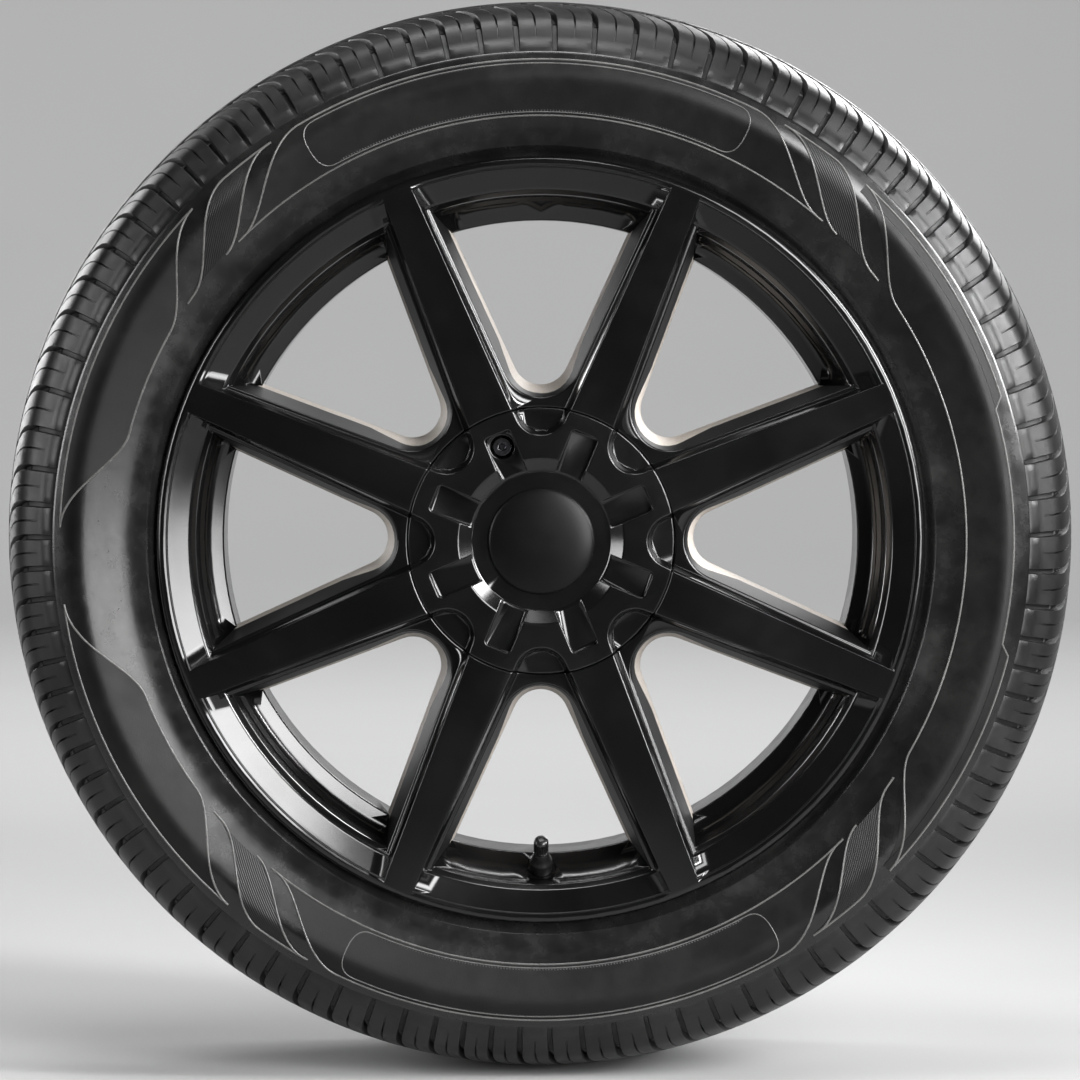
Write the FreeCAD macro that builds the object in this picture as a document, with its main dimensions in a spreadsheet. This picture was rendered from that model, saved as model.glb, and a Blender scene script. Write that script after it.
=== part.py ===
import FreeCAD
import Part
import Sketcher
import os

# A car wheel with its tyre, hub cover and valve, drawn in millimetres.
# The wheel turns about Y, its outer face looks along -Y, and the valve is at the bottom.

SIZES = [
    # Tyre, from the size moulded on its sidewall.
    ("tyre_diameter", "741"),
    ("section_width", "235"),
    ("widest_rise", "62"),
    ("crown_radius", "420"),
    ("knee_width", "198"),
    ("knee_drop", "14.5"),
    ("block_foot_width", "222"),
    ("block_foot_drop", "37.5"),
    ("wall_heel_width", "230"),
    ("wall_heel_rise", "40"),
    ("tread_thickness", "17"),
    ("liner_width", "150"),
    ("wall_thickness", "9"),
    ("bead_width", "20"),
    ("bead_clearance", "0.4"),
    # Tread grooves.
    ("groove_width", "10"),
    ("groove_floor_width", "6"),
    ("groove_depth", "7.5"),
    ("outer_groove_place", "52"),
    ("block_count", "76"),
    ("block_gap_angle", "0.8"),
    ("block_gap_start", "86"),
    # Rim section.
    ("rim_diameter", "482.6"),
    ("rim_width", "190.5"),
    ("flange_height", "20.7"),
    ("flange_thickness", "12"),
    ("lip_face", "5"),
    ("lip_corner", "2.5"),
    ("lip_back_run", "5"),
    ("bevel_run", "5"),
    ("bevel_depth", "2.2"),
    ("flange_web", "5.2"),
    ("rim_wall", "5.5"),
    ("seat_length", "23"),
    ("seat_fall", "1.3"),
    ("well_depth", "17.3"),
    ("well_length", "46"),
    # Hub.
    ("wheel_offset", "40"),
    ("bore_radius", "33.55"),
    ("pad_radius", "76"),
    ("pad_slope_run", "20"),
    ("bolt_circle", "114.3"),
    ("bolt_count", "5"),
    ("bolt_hole_radius", "7.3"),
    ("bolt_seat_radius", "13"),
    ("bolt_seat_depth", "9"),
    ("cover_seat_depth", "27"),
    ("cover_seat_radius", "91.4"),
    # Spokes and the openings between them.
    ("spoke_count", "8"),
    ("spoke_tip_width", "20.6"),
    ("spoke_root_width", "32.4"),
    ("spoke_back_depth", "58"),
    ("pocket_depth", "9"),
    ("pocket_draft", "3"),
    ("pocket_root", "72.5"),
    ("ledge_width", "2.5"),
    ("window_draft", "8.4"),
    ("window_root", "98"),
    ("spoke_hollow_depth", "14"),
    ("spoke_hollow_width", "18"),
    ("spoke_hollow_start", "122"),
    ("spoke_hollow_end", "200"),
    # Hub cover and centre cap.
    ("seam", "0.4"),
    ("cover_wall", "3"),
    ("dish_radius", "56.5"),
    ("dish_floor_radius", "47.5"),
    ("dish_depth", "7"),
    ("cap_bore_radius", "34"),
    ("tab_width", "18.6"),
    ("tab_depth", "6"),
    ("tab_end", "79"),
    ("tab_corner", "2"),
    ("cap_radius", "36.2"),
    ("cap_edge", "2.4"),
    ("cap_crown_radius", "27"),
    ("cap_crown_rise", "2.8"),
    ("cap_skirt_length", "13"),
    ("cap_wall", "2.6"),
    ("cap_clearance", "0.3"),
    # Screw that holds the cover.
    ("screw_place", "69.5"),
    ("screw_radius", "3"),
    ("screw_clearance", "0.3"),
    ("screw_length", "18"),
    ("head_radius", "6.2"),
    ("head_height", "5"),
    ("key_size", "5"),
    ("key_depth", "3"),
    ("screw_well_radius", "8"),
    ("screw_well_depth", "14.5"),
    ("screw_boss_radius", "11"),
    # Valve, drawn along its own axis from the middle of the rim wall.
    ("valve_angle", "45"),
    ("valve_hole_radius", "5.75"),
    ("valve_spot_radius", "10.5"),
    ("valve_spot_depth", "0.5"),
    ("valve_neck_gap", "0.3"),
    ("valve_base_radius", "9.4"),
    ("valve_base_length", "7"),
    ("valve_bulge_radius", "7.8"),
    ("valve_bulge_end", "10"),
    ("valve_top_radius", "5.2"),
    ("valve_rubber_top", "21"),
    ("stem_radius", "3.9"),
    ("stem_root_radius", "3"),
    ("stem_top", "32"),
    ("stem_bond", "0.05"),
    ("core_bore_radius", "2.65"),
    ("core_seat", "14"),
    ("air_bore_radius", "1.5"),
    ("core_length", "15.5"),
    ("core_gap", "0.15"),
    ("pin_radius", "0.65"),
    ("pin_gap", "0.25"),
    ("pin_foot_radius", "1.3"),
    ("pin_foot_length", "2"),
    ("pin_top_gap", "0.6"),
    ("cap_seal_thickness", "1"),
    ("valve_cap_radius", "5.1"),
    ("valve_cap_thread_gap", "0.3"),
    ("valve_cap_top", "1.4"),
    ("valve_cap_round", "1.6"),
    ("valve_cap_lift_gap", "0.5"),
]

PLACES = [
    # Rim section: distances from the middle plane and radii from the axle.
    ("bead_radius", "rim_diameter / 2"),
    ("flange_face", "rim_width / 2"),
    ("lip_front", "flange_face + flange_thickness"),
    ("flange_radius", "bead_radius + flange_height"),
    ("lip_corner_radius", "flange_radius - lip_corner"),
    ("lip_top_front", "lip_front - lip_corner"),
    ("lip_back", "flange_face + lip_back_run"),
    ("lip_face_radius", "flange_radius - lip_face"),
    ("bevel_end", "lip_front - bevel_depth"),
    ("bevel_radius", "lip_face_radius - bevel_run"),
    ("web_front", "flange_face + flange_web"),
    ("web_radius", "bead_radius - seat_fall"),
    ("under_radius", "bead_radius - rim_wall"),
    ("seat_end", "flange_face - seat_length"),
    ("seat_end_radius", "bead_radius - seat_fall"),
    ("under_end_radius", "seat_end_radius - rim_wall"),
    ("well_radius", "bead_radius - well_depth"),
    ("well_under_radius", "well_radius - rim_wall"),
    ("well_front", "seat_end - (seat_end_radius - well_radius) / tan(valve_angle)"),
    ("well_back", "well_front - well_length"),
    ("wall_shift", "rim_wall * sin(valve_angle)"),
    ("wall_fall", "rim_wall * cos(valve_angle)"),
    ("slope_top", "seat_end - (rim_wall - wall_fall) / tan(valve_angle) + wall_shift"),
    ("slope_foot", "well_front - (rim_wall - wall_fall) / tan(valve_angle) + wall_shift"),
    # Spoke plate, whose edge lies inside the rim wall.
    ("plate_lip_radius", "lip_face_radius + lip_face / 4"),
    ("plate_web", "web_front - flange_web / 2"),
    ("plate_under_radius", "under_radius + rim_wall / 2"),
    ("plate_end_radius", "under_end_radius + rim_wall / 2"),
    ("plate_well_radius", "well_under_radius + rim_wall / 2"),
    ("spoke_back", "lip_front - spoke_back_depth"),
    ("pad_slope_radius", "pad_radius + pad_slope_run"),
    ("cover_seat", "lip_front - cover_seat_depth"),
    # Openings: two straight sides that meet at an apex, and a round root.
    ("half_pitch", "180 deg / spoke_count"),
    ("spoke_lean", "atan((spoke_root_width - spoke_tip_width) / 2 / (bevel_radius - cover_seat_radius))"),
    ("side_angle", "half_pitch + spoke_lean"),
    ("root_edge_x", "cover_seat_radius * sin(half_pitch) - spoke_root_width / 2 * cos(half_pitch)"),
    ("root_edge_z", "cover_seat_radius * cos(half_pitch) + spoke_root_width / 2 * sin(half_pitch)"),
    ("apex", "root_edge_z - root_edge_x / tan(side_angle)"),
    ("root_share", "1 / sin(side_angle) - 1"),
    ("opening_top", "flange_radius + 40"),
    ("pocket_floor", "lip_front - pocket_depth"),
    ("window_end", "spoke_back - 4"),
]

# Each cut has a front and a back section, inset from the spoke face, with one centre for its round root.
CUTS = [
    ("pocket", "0", "pocket_draft", "pocket_root"),
    ("window", "pocket_draft + ledge_width", "pocket_draft + ledge_width + window_draft", "window_root"),
]
for name, inset, deeper, root in CUTS:
    PLACES += [
        (name + "_front_apex", "apex + (" + inset + ") / sin(side_angle)"),
        (name + "_front_radius", "(" + root + " - " + name + "_front_apex) / root_share"),
        (name + "_centre", name + "_front_apex + " + name + "_front_radius / sin(side_angle)"),
        (name + "_back_apex", "apex + (" + deeper + ") / sin(side_angle)"),
        (name + "_back_radius", "(" + name + "_centre - " + name + "_back_apex) * sin(side_angle)"),
        (name + "_front_root", name + "_centre - " + name + "_front_radius"),
        (name + "_back_root", name + "_centre - " + name + "_back_radius"),
    ]
    for end in ("_front", "_back"):
        part = name + end
        PLACES += [
            (part + "_side_x", part + "_radius * cos(side_angle)"),
            (part + "_side_z", name + "_centre - " + part + "_radius * sin(side_angle)"),
            (part + "_top_x", "(opening_top - " + part + "_apex) * tan(side_angle)"),
        ]

PLACES += [
    # Hollow on the back of each spoke.
    ("hollow_floor", "spoke_back + spoke_hollow_depth"),
    ("hollow_half", "spoke_hollow_width / 2"),
    # Tyre section.
    ("tyre_radius", "tyre_diameter / 2"),
    ("knee_half", "knee_width / 2"),
    ("knee_radius", "tyre_radius - knee_drop"),
    ("block_foot_half", "block_foot_width / 2"),
    ("block_foot_radius", "tyre_radius - block_foot_drop"),
    ("section_half", "section_width / 2"),
    ("widest_radius", "bead_radius + widest_rise"),
    ("wall_heel_half", "wall_heel_width / 2"),
    ("wall_heel_radius", "bead_radius + wall_heel_rise"),
    ("bead_top", "lip_front - lip_corner / 2"),
    ("bead_top_radius", "flange_radius + 3 * bead_clearance"),
    ("bead_shelf", "lip_back - bead_clearance"),
    ("bead_shelf_radius", "flange_radius + bead_clearance"),
    ("bead_heel", "flange_face - bead_clearance"),
    ("bead_heel_radius", "bead_radius + bead_clearance"),
    ("bead_toe", "flange_face - bead_width"),
    ("bead_toe_radius", "bead_radius - seat_fall * bead_width / seat_length + bead_clearance"),
    ("liner_half", "liner_width / 2"),
    ("liner_radius", "tyre_radius - tread_thickness"),
    ("liner_wall", "section_half - wall_thickness"),
    # Tread grooves, cut to the same depth below the curved crown.
    ("groove_half", "groove_width / 2"),
    ("floor_half", "groove_floor_width / 2"),
    ("outer_near", "outer_groove_place - groove_half"),
    ("outer_far", "outer_groove_place + groove_half"),
    ("outer_floor_near", "outer_groove_place - floor_half"),
    ("outer_floor_far", "outer_groove_place + floor_half"),
    ("middle_floor_radius", "tyre_radius - groove_depth"),
    ("outer_near_radius", "tyre_radius - outer_near ^ 2 / (2 * crown_radius)"),
    ("outer_far_radius", "tyre_radius - outer_far ^ 2 / (2 * crown_radius)"),
    ("outer_floor_radius", "tyre_radius - groove_depth - outer_groove_place ^ 2 / (2 * crown_radius)"),
    ("gap_start_radius", "tyre_radius - block_gap_start ^ 2 / (2 * crown_radius)"),
    ("gap_top_radius", "gap_start_radius + 12"),
    ("gap_out", "block_foot_half + 12"),
    # Wheel bolt holes.
    ("bolt_axis", "bolt_circle / 2"),
    ("bolt_side", "bolt_axis + bolt_hole_radius"),
    ("bolt_seat_edge", "bolt_axis + bolt_seat_radius"),
    ("bolt_start", "wheel_offset - 5"),
    ("bolt_cone_end", "cover_seat - bolt_seat_depth"),
    ("bolt_above", "cover_seat + 1"),
    # Hub cover and centre cap.
    ("cover_radius", "cover_seat_radius - seam"),
    ("collar_end", "cover_seat + seam"),
    ("tab_floor", "lip_front - tab_depth"),
    ("dish_floor", "lip_front - dish_depth"),
    ("cover_inside_radius", "cover_radius - cover_wall"),
    ("collar_radius", "cap_bore_radius + cover_wall"),
    ("cover_plate_back", "pocket_floor - cover_wall"),
    ("tab_half", "tab_width / 2"),
    ("tab_start", "dish_floor_radius - 2"),
    ("cap_top_edge", "dish_floor + cap_edge"),
    ("cap_crown", "cap_top_edge + cap_crown_rise"),
    ("skirt_radius", "cap_bore_radius - cap_clearance"),
    ("skirt_inside_radius", "skirt_radius - cap_wall"),
    ("skirt_end", "dish_floor - cap_skirt_length"),
    ("cap_inside", "dish_floor - cap_edge / 2"),
    # Cover screw.
    ("screw_floor", "lip_front - screw_well_depth"),
    ("screw_boss_top", "screw_floor - cover_wall"),
    ("screw_boss_height", "screw_boss_top - cover_seat"),
    ("screw_well_cut", "screw_well_depth - tab_depth"),
    ("screw_well_wall", "cover_plate_back - screw_boss_top"),
    ("screw_pass_radius", "screw_radius + screw_clearance"),
    ("screw_pass_depth", "cover_wall"),
    ("screw_tap_radius", "screw_radius + screw_clearance / 3"),
    ("screw_tap_depth", "screw_length - cover_wall + screw_clearance"),
    ("screw_top", "screw_floor + head_height"),
    ("key_corner", "key_size / sqrt(3)"),
    ("key_quarter", "key_corner / 2"),
    ("key_upper", "screw_place + key_size / 2"),
    ("key_lower", "screw_place - key_size / 2"),
    # Valve, along its axis.
    ("valve_mid_radius", "(seat_end_radius + well_radius) / 2 - wall_fall / 2"),
    ("valve_mid", "(seat_end + well_front) / 2 + wall_shift / 2"),
    ("valve_seat", "rim_wall / 2 - valve_spot_depth"),
    ("valve_neck_radius", "valve_hole_radius - valve_neck_gap"),
    ("valve_cut_depth", "rim_wall * 2"),
    ("valve_cut_length", "rim_wall * 4"),
    ("valve_back_start", "valve_seat + valve_cut_depth"),
    ("valve_base_end", "valve_seat + valve_base_length"),
    ("valve_bulge_top", "valve_seat + valve_bulge_end"),
    ("stem_bore_radius", "stem_root_radius + stem_bond"),
    ("core_radius", "core_bore_radius - core_gap"),
    ("core_top", "core_seat + core_length"),
    ("pin_bore_radius", "pin_radius + pin_gap"),
    ("pin_foot", "core_seat - pin_foot_length"),
    ("pin_top", "stem_top - pin_top_gap"),
    ("cap_seal_top", "stem_top + cap_seal_thickness"),
    ("cap_seal_radius", "stem_radius"),
    ("valve_cap_bore", "stem_radius + valve_cap_thread_gap"),
    ("valve_cap_foot", "valve_rubber_top + valve_cap_lift_gap"),
    ("valve_cap_end", "cap_seal_top + valve_cap_top"),
    ("valve_cap_shoulder", "valve_cap_end - valve_cap_round"),
    ("valve_cap_crown", "valve_cap_radius - valve_cap_round"),
]

doc = FreeCAD.newDocument("CarWheel")
sheet = doc.addObject("Spreadsheet::Sheet", "Sizes")
for row, (name, value) in enumerate(SIZES, start=1):
    sheet.set("A%d" % row, name)
    sheet.set("B%d" % row, value)
    sheet.setAlias("B%d" % row, name)
for row, (name, formula) in enumerate(PLACES, start=1):
    sheet.set("D%d" % row, name)
    sheet.set("E%d" % row, "=" + formula)
    sheet.setAlias("E%d" % row, name)
doc.recompute()


def amount(name):
    """The value of a named cell, with a leading minus turned into a sign."""
    if name.startswith("-"):
        return -amount(name[1:])
    value = sheet.get(name)
    return float(getattr(value, "Value", value))


def bound(name):
    """The same name as an expression for a property or a constraint."""
    if name.startswith("-"):
        return "-Sizes." + name[1:]
    return "Sizes." + name


def origin_piece(body, role):
    """An origin plane or axis of a body."""
    return [piece for piece in body.Origin.OriginFeatures if piece.Role == role][0]


def new_body(label):
    """An empty body whose label is also its file name."""
    body = doc.addObject("PartDesign::Body", label)
    body.Label = label
    return body


def new_sketch(body, label, role, shift=None, turn=None):
    """A sketch on an origin plane, moved along its normal and turned in its plane."""
    sketch = body.newObject("Sketcher::SketchObject", body.Label + "_" + label)
    sketch.AttachmentSupport = [(origin_piece(body, role), "")]
    sketch.MapMode = "FlatFace"
    if turn:
        spin = FreeCAD.Rotation(FreeCAD.Vector(0, 0, 1), amount(turn))
        sketch.AttachmentOffset = FreeCAD.Placement(FreeCAD.Vector(), spin)
        sketch.setExpression("AttachmentOffset.Rotation.Angle", bound(turn))
    if shift:
        sketch.setExpression("AttachmentOffset.Base.z", bound(shift))
    return sketch


def fix_point(sketch, geometry, end, x_name, y_name):
    """Hold one point of a sketch at two named distances from the sketch's origin."""
    point = sketch.getPoint(geometry, end)
    for kind, name, place, axis in (("DistanceX", x_name, point.x, -2), ("DistanceY", y_name, point.y, -1)):
        if name is None:
            sketch.addConstraint(Sketcher.Constraint("PointOnObject", geometry, end, axis))
            continue
        index = sketch.addConstraint(Sketcher.Constraint(kind, -1, 1, geometry, end, place))
        sketch.setExpression("Constraints[%d]" % index, bound(name))


def draw_outline(sketch, corners, arcs=None):
    """A closed outline through named corners; arcs maps an edge to its radius name and bulge side."""
    arcs = arcs or {}
    spots = [FreeCAD.Vector(amount(x) if x else 0, amount(y) if y else 0, 0) for x, y in corners]
    ends = []
    for index, start in enumerate(spots):
        finish = spots[(index + 1) % len(spots)]
        if index not in arcs:
            sketch.addGeometry(Part.LineSegment(start, finish))
            ends.append((1, 2))
            continue
        radius, side = amount(arcs[index][0]), arcs[index][1]
        chord = finish - start
        left = FreeCAD.Vector(-chord.y, chord.x, 0).normalize()
        sag = radius - (radius ** 2 - (chord.Length / 2) ** 2) ** 0.5
        middle = (start + finish) / 2 + left * (sag * side)
        centre = middle - left * (radius * side)
        circle = Part.Circle(centre, FreeCAD.Vector(0, 0, 1), radius)
        first, last = (start, finish) if side < 0 else (finish, start)
        sketch.addGeometry(Part.ArcOfCircle(circle, circle.parameter(first), circle.parameter(last)))
        ends.append((1, 2) if side < 0 else (2, 1))
    for index in range(len(spots)):
        after = (index + 1) % len(spots)
        meet = Sketcher.Constraint("Coincident", index, ends[index][1], after, ends[after][0])
        sketch.addConstraint(meet)
    for index, (radius_name, side) in arcs.items():
        number = sketch.addConstraint(Sketcher.Constraint("Radius", index, amount(radius_name)))
        sketch.setExpression("Constraints[%d]" % number, bound(radius_name))
    for index, (x_name, y_name) in enumerate(corners):
        fix_point(sketch, index, ends[index][0], x_name, y_name)


def draw_circle(sketch, x_name, y_name, radius_name):
    """A circle at a named place with a named radius."""
    spot = FreeCAD.Vector(amount(x_name) if x_name else 0, amount(y_name) if y_name else 0, 0)
    sketch.addGeometry(Part.Circle(spot, FreeCAD.Vector(0, 0, 1), amount(radius_name)))
    number = sketch.addConstraint(Sketcher.Constraint("Radius", 0, amount(radius_name)))
    sketch.setExpression("Constraints[%d]" % number, bound(radius_name))
    fix_point(sketch, 0, 3, x_name, y_name)


def revolve(body, label, corners, arcs=None):
    """A turned solid from a section in distances along Y and radii from the axle."""
    sketch = new_sketch(body, label + "_section", "YZ_Plane")
    draw_outline(sketch, corners, arcs)
    turned = body.newObject("PartDesign::Revolution", body.Label + "_" + label)
    turned.Profile = sketch
    turned.ReferenceAxis = (sketch, ["H_Axis"])
    turned.Angle = 360
    turned.Refine = False
    body.Tip = turned
    return turned


def turn_upright(body, label, corners, arcs=None):
    """A turned solid from a section in radii and heights along the body's own Z."""
    sketch = new_sketch(body, label + "_section", "XZ_Plane")
    draw_outline(sketch, corners, arcs)
    turned = body.newObject("PartDesign::Revolution", body.Label + "_" + label)
    turned.Profile = sketch
    turned.ReferenceAxis = (sketch, ["V_Axis"])
    turned.Angle = 360
    body.Tip = turned
    return turned


def extrude(body, kind, label, sketch, length, side="One side", back=False):
    """A pad or a pocket of a named length."""
    feature = body.newObject("PartDesign::" + kind, body.Label + "_" + label)
    feature.Profile = sketch
    feature.Type = "Length"
    feature.SideType = side
    feature.Reversed = back
    feature.setExpression("Length", bound(length))
    feature.Refine = False
    body.Tip = feature
    return feature


def repeat(body, label, features, count):
    """Repeat features round the axle."""
    pattern = body.newObject("PartDesign::PolarPattern", body.Label + "_" + label)
    pattern.Originals = features
    pattern.Axis = (origin_piece(body, "Y_Axis"), [""])
    pattern.Angle = 360
    pattern.setExpression("Occurrences", bound(count))
    pattern.Refine = False
    body.Tip = pattern
    return pattern


def draw_opening(body, name, depth):
    """One section of the straight part of a cut between two spokes."""
    sketch = new_sketch(body, name, "XZ_Plane", shift=depth)
    draw_outline(sketch, [
        (name + "_side_x", name + "_side_z"),
        (name + "_top_x", "opening_top"),
        ("-" + name + "_top_x", "opening_top"),
        ("-" + name + "_side_x", name + "_side_z"),
    ])
    return sketch


def cut_opening(body, name, front, back):
    """A drafted cut between two spokes: straight sides, and a cone for the round root."""
    sides = body.newObject("PartDesign::SubtractiveLoft", body.Label + "_" + name + "_sides")
    sides.Profile = draw_opening(body, name + "_front", front)
    sides.Sections = [draw_opening(body, name + "_back", back)]
    sides.Ruled = True
    sides.Refine = False
    body.Tip = sides
    sketch = new_sketch(body, name + "_root_section", "YZ_Plane")
    draw_outline(sketch, [
        ("-" + front, name + "_centre"),
        ("-" + front, name + "_front_root"),
        ("-" + back, name + "_back_root"),
        ("-" + back, name + "_centre"),
    ])
    root = body.newObject("PartDesign::Groove", body.Label + "_" + name + "_root")
    root.Profile = sketch
    root.ReferenceAxis = (sketch, ["Edge4"])
    root.Angle = 360
    root.Refine = False
    body.Tip = root
    return [sides, root]


def set_on_valve_axis(body):
    """Stand a body on the rim wall at the bottom of the wheel, along the valve hole."""
    lean = FreeCAD.Rotation(FreeCAD.Vector(1, 0, 0), amount("valve_angle"))
    body.Placement = FreeCAD.Placement(FreeCAD.Vector(), lean)
    body.setExpression("Placement.Rotation.Angle", bound("valve_angle"))
    body.setExpression("Placement.Base.y", bound("-valve_mid"))
    body.setExpression("Placement.Base.z", bound("-valve_mid_radius"))


# Tyre: one moulding, turned with its three round grooves.
tyre = new_body("tyre")
outer_half = [
    ("floor_half", "middle_floor_radius"),
    ("groove_half", "tyre_radius"),
    ("outer_near", "outer_near_radius"),
    ("outer_floor_near", "outer_floor_radius"),
    ("outer_floor_far", "outer_floor_radius"),
    ("outer_far", "outer_far_radius"),
    ("knee_half", "knee_radius"),
    ("block_foot_half", "block_foot_radius"),
    ("section_half", "widest_radius"),
    ("wall_heel_half", "wall_heel_radius"),
    ("bead_top", "bead_top_radius"),
    ("bead_shelf", "bead_shelf_radius"),
    ("bead_heel", "bead_heel_radius"),
    ("bead_toe", "bead_toe_radius"),
    ("liner_wall", "widest_radius"),
    ("liner_half", "liner_radius"),
]
near_side = [("-" + place, radius) for place, radius in outer_half]
far_side = list(reversed(outer_half))
revolve(tyre, "casing", near_side + far_side)

# Gaps between the shoulder blocks, cut from the crown down to the foot of the blocks.
for side, sign in (("outboard", "-"), ("inboard", "")):
    sketch = new_sketch(tyre, side + "_gap_section", "YZ_Plane")
    draw_outline(sketch, [
        (sign + "block_gap_start", "gap_start_radius"),
        (sign + "block_gap_start", "gap_top_radius"),
        (sign + "gap_out", "gap_top_radius"),
        (sign + "gap_out", "block_foot_radius"),
        (sign + "block_foot_half", "block_foot_radius"),
    ])
    gap = tyre.newObject("PartDesign::Groove", "tyre_" + side + "_gap")
    gap.Profile = sketch
    gap.ReferenceAxis = (sketch, ["H_Axis"])
    gap.Midplane = True
    gap.setExpression("Angle", bound("block_gap_angle"))
    gap.Refine = False
    tyre.Tip = gap
    repeat(tyre, side + "_gaps", [gap], "block_count")

# Wheel: a spoke plate with its openings, then the rim turned round it.
wheel = new_body("alloy_wheel")
plate = [
    ("-cover_seat", "bore_radius"),
    ("-wheel_offset", "bore_radius"),
    ("-wheel_offset", "pad_radius"),
    ("-spoke_back", "pad_slope_radius"),
    ("-spoke_back", "plate_well_radius"),
    ("-slope_foot", "plate_well_radius"),
    ("-slope_top", "plate_end_radius"),
    ("-flange_face", "plate_under_radius"),
    ("-plate_web", "web_radius"),
    ("-lip_front", "plate_lip_radius"),
    ("-lip_front", "cover_seat_radius"),
    ("-cover_seat", "cover_seat_radius"),
]
revolve(wheel, "plate", plate)
pocket = cut_opening(wheel, "pocket", "lip_front", "pocket_floor")
window = cut_opening(wheel, "window", "pocket_floor", "window_end")
repeat(wheel, "openings", pocket + window, "spoke_count")

# Hollow cast into the back of each spoke.
hollow_sketch = new_sketch(wheel, "hollow_outline", "XZ_Plane", shift="spoke_back", turn="half_pitch")
draw_outline(hollow_sketch, [
    ("-hollow_half", "spoke_hollow_start"),
    ("hollow_half", "spoke_hollow_start"),
    ("hollow_half", "spoke_hollow_end"),
    ("-hollow_half", "spoke_hollow_end"),
])
hollow = extrude(wheel, "Pocket", "hollow", hollow_sketch, "spoke_hollow_depth", back=True)
repeat(wheel, "hollows", [hollow], "spoke_count")

rim = [
    ("-lip_front", "lip_face_radius"),
    ("-bevel_end", "bevel_radius"),
    ("-web_front", "web_radius"),
    ("-flange_face", "under_radius"),
    ("-slope_top", "under_end_radius"),
    ("-slope_foot", "well_under_radius"),
    ("-well_back", "well_under_radius"),
    ("flange_face", "under_radius"),
    ("lip_front", "lip_face_radius"),
    ("lip_front", "flange_radius"),
    ("lip_back", "flange_radius"),
    ("flange_face", "bead_radius"),
    ("seat_end", "seat_end_radius"),
    ("-well_back", "well_radius"),
    ("-well_front", "well_radius"),
    ("-seat_end", "seat_end_radius"),
    ("-flange_face", "bead_radius"),
    ("-lip_back", "flange_radius"),
    ("-lip_top_front", "flange_radius"),
    ("-lip_front", "lip_corner_radius"),
]
revolve(wheel, "rim", rim)

# Wheel bolt holes with conical seats, hidden by the cover.
bolt_sketch = new_sketch(wheel, "bolt_section", "YZ_Plane")
draw_outline(bolt_sketch, [
    ("-bolt_start", "bolt_axis"),
    ("-bolt_start", "bolt_side"),
    ("-bolt_cone_end", "bolt_side"),
    ("-cover_seat", "bolt_seat_edge"),
    ("-bolt_above", "bolt_seat_edge"),
    ("-bolt_above", "bolt_axis"),
])
bolt_hole = wheel.newObject("PartDesign::Groove", "alloy_wheel_bolt_hole")
bolt_hole.Profile = bolt_sketch
bolt_hole.ReferenceAxis = (bolt_sketch, ["Edge6"])
bolt_hole.Angle = 360
bolt_hole.Refine = False
wheel.Tip = bolt_hole
repeat(wheel, "bolt_holes", [bolt_hole], "bolt_count")

# Boss for the cover screw, with its hole.
boss_sketch = new_sketch(wheel, "screw_boss_outline", "XZ_Plane", shift="cover_seat", turn="half_pitch")
draw_circle(boss_sketch, None, "screw_place", "screw_boss_radius")
extrude(wheel, "Pad", "screw_boss", boss_sketch, "screw_boss_height")
tap_sketch = new_sketch(wheel, "screw_tap_outline", "XZ_Plane", shift="screw_boss_top", turn="half_pitch")
draw_circle(tap_sketch, None, "screw_place", "screw_tap_radius")
extrude(wheel, "Pocket", "screw_tap", tap_sketch, "screw_tap_depth")

# Valve hole through the sloping wall, with a flat spot face on each side for the rubber.
for label, radius, start, length in (
    ("valve_hole", "valve_hole_radius", "-valve_cut_depth", "valve_cut_length"),
    ("valve_spot", "valve_spot_radius", "valve_seat", "valve_cut_depth"),
    ("valve_back_spot", "valve_spot_radius", "-valve_back_start", "valve_cut_depth"),
):
    sketch = wheel.newObject("Sketcher::SketchObject", "alloy_wheel_" + label + "_outline")
    sketch.AttachmentSupport = [(origin_piece(wheel, "XZ_Plane"), "")]
    sketch.MapMode = "FlatFace"
    tilt = FreeCAD.Rotation(FreeCAD.Vector(-1, 0, 0), amount("valve_angle"))
    sketch.AttachmentOffset = FreeCAD.Placement(FreeCAD.Vector(), tilt)
    sketch.setExpression("AttachmentOffset.Rotation.Angle", bound("valve_angle"))
    along = bound(start)
    sketch.setExpression("AttachmentOffset.Base.y", along + " * sin(Sizes.valve_angle) - Sizes.valve_mid_radius")
    sketch.setExpression("AttachmentOffset.Base.z", along + " * cos(Sizes.valve_angle) + Sizes.valve_mid")
    draw_circle(sketch, None, None, radius)
    extrude(wheel, "Pocket", label, sketch, length, back=True)

# Hub cover: a moulded dish with a skirt that stands on the hub and a collar for the cap.
cover = new_body("hub_cover")
revolve(cover, "dish", [
    ("-lip_front", "dish_radius"),
    ("-lip_front", "cover_radius"),
    ("-cover_seat", "cover_radius"),
    ("-cover_seat", "cover_inside_radius"),
    ("-cover_plate_back", "cover_inside_radius"),
    ("-cover_plate_back", "collar_radius"),
    ("-collar_end", "collar_radius"),
    ("-collar_end", "cap_bore_radius"),
    ("-dish_floor", "cap_bore_radius"),
    ("-dish_floor", "dish_floor_radius"),
])
valley = cut_opening(cover, "pocket", "lip_front", "pocket_floor")
tab_sketch = new_sketch(cover, "tab_outline", "XZ_Plane", shift="lip_front", turn="half_pitch")
draw_outline(tab_sketch, [
    ("-tab_half", "tab_start"),
    ("tab_half", "tab_start"),
    ("tab_half", "tab_end"),
    ("-tab_half", "tab_end"),
])
tab = extrude(cover, "Pocket", "tab", tab_sketch, "tab_depth")
repeat(cover, "valleys_and_tabs", valley + [tab], "spoke_count")

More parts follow.
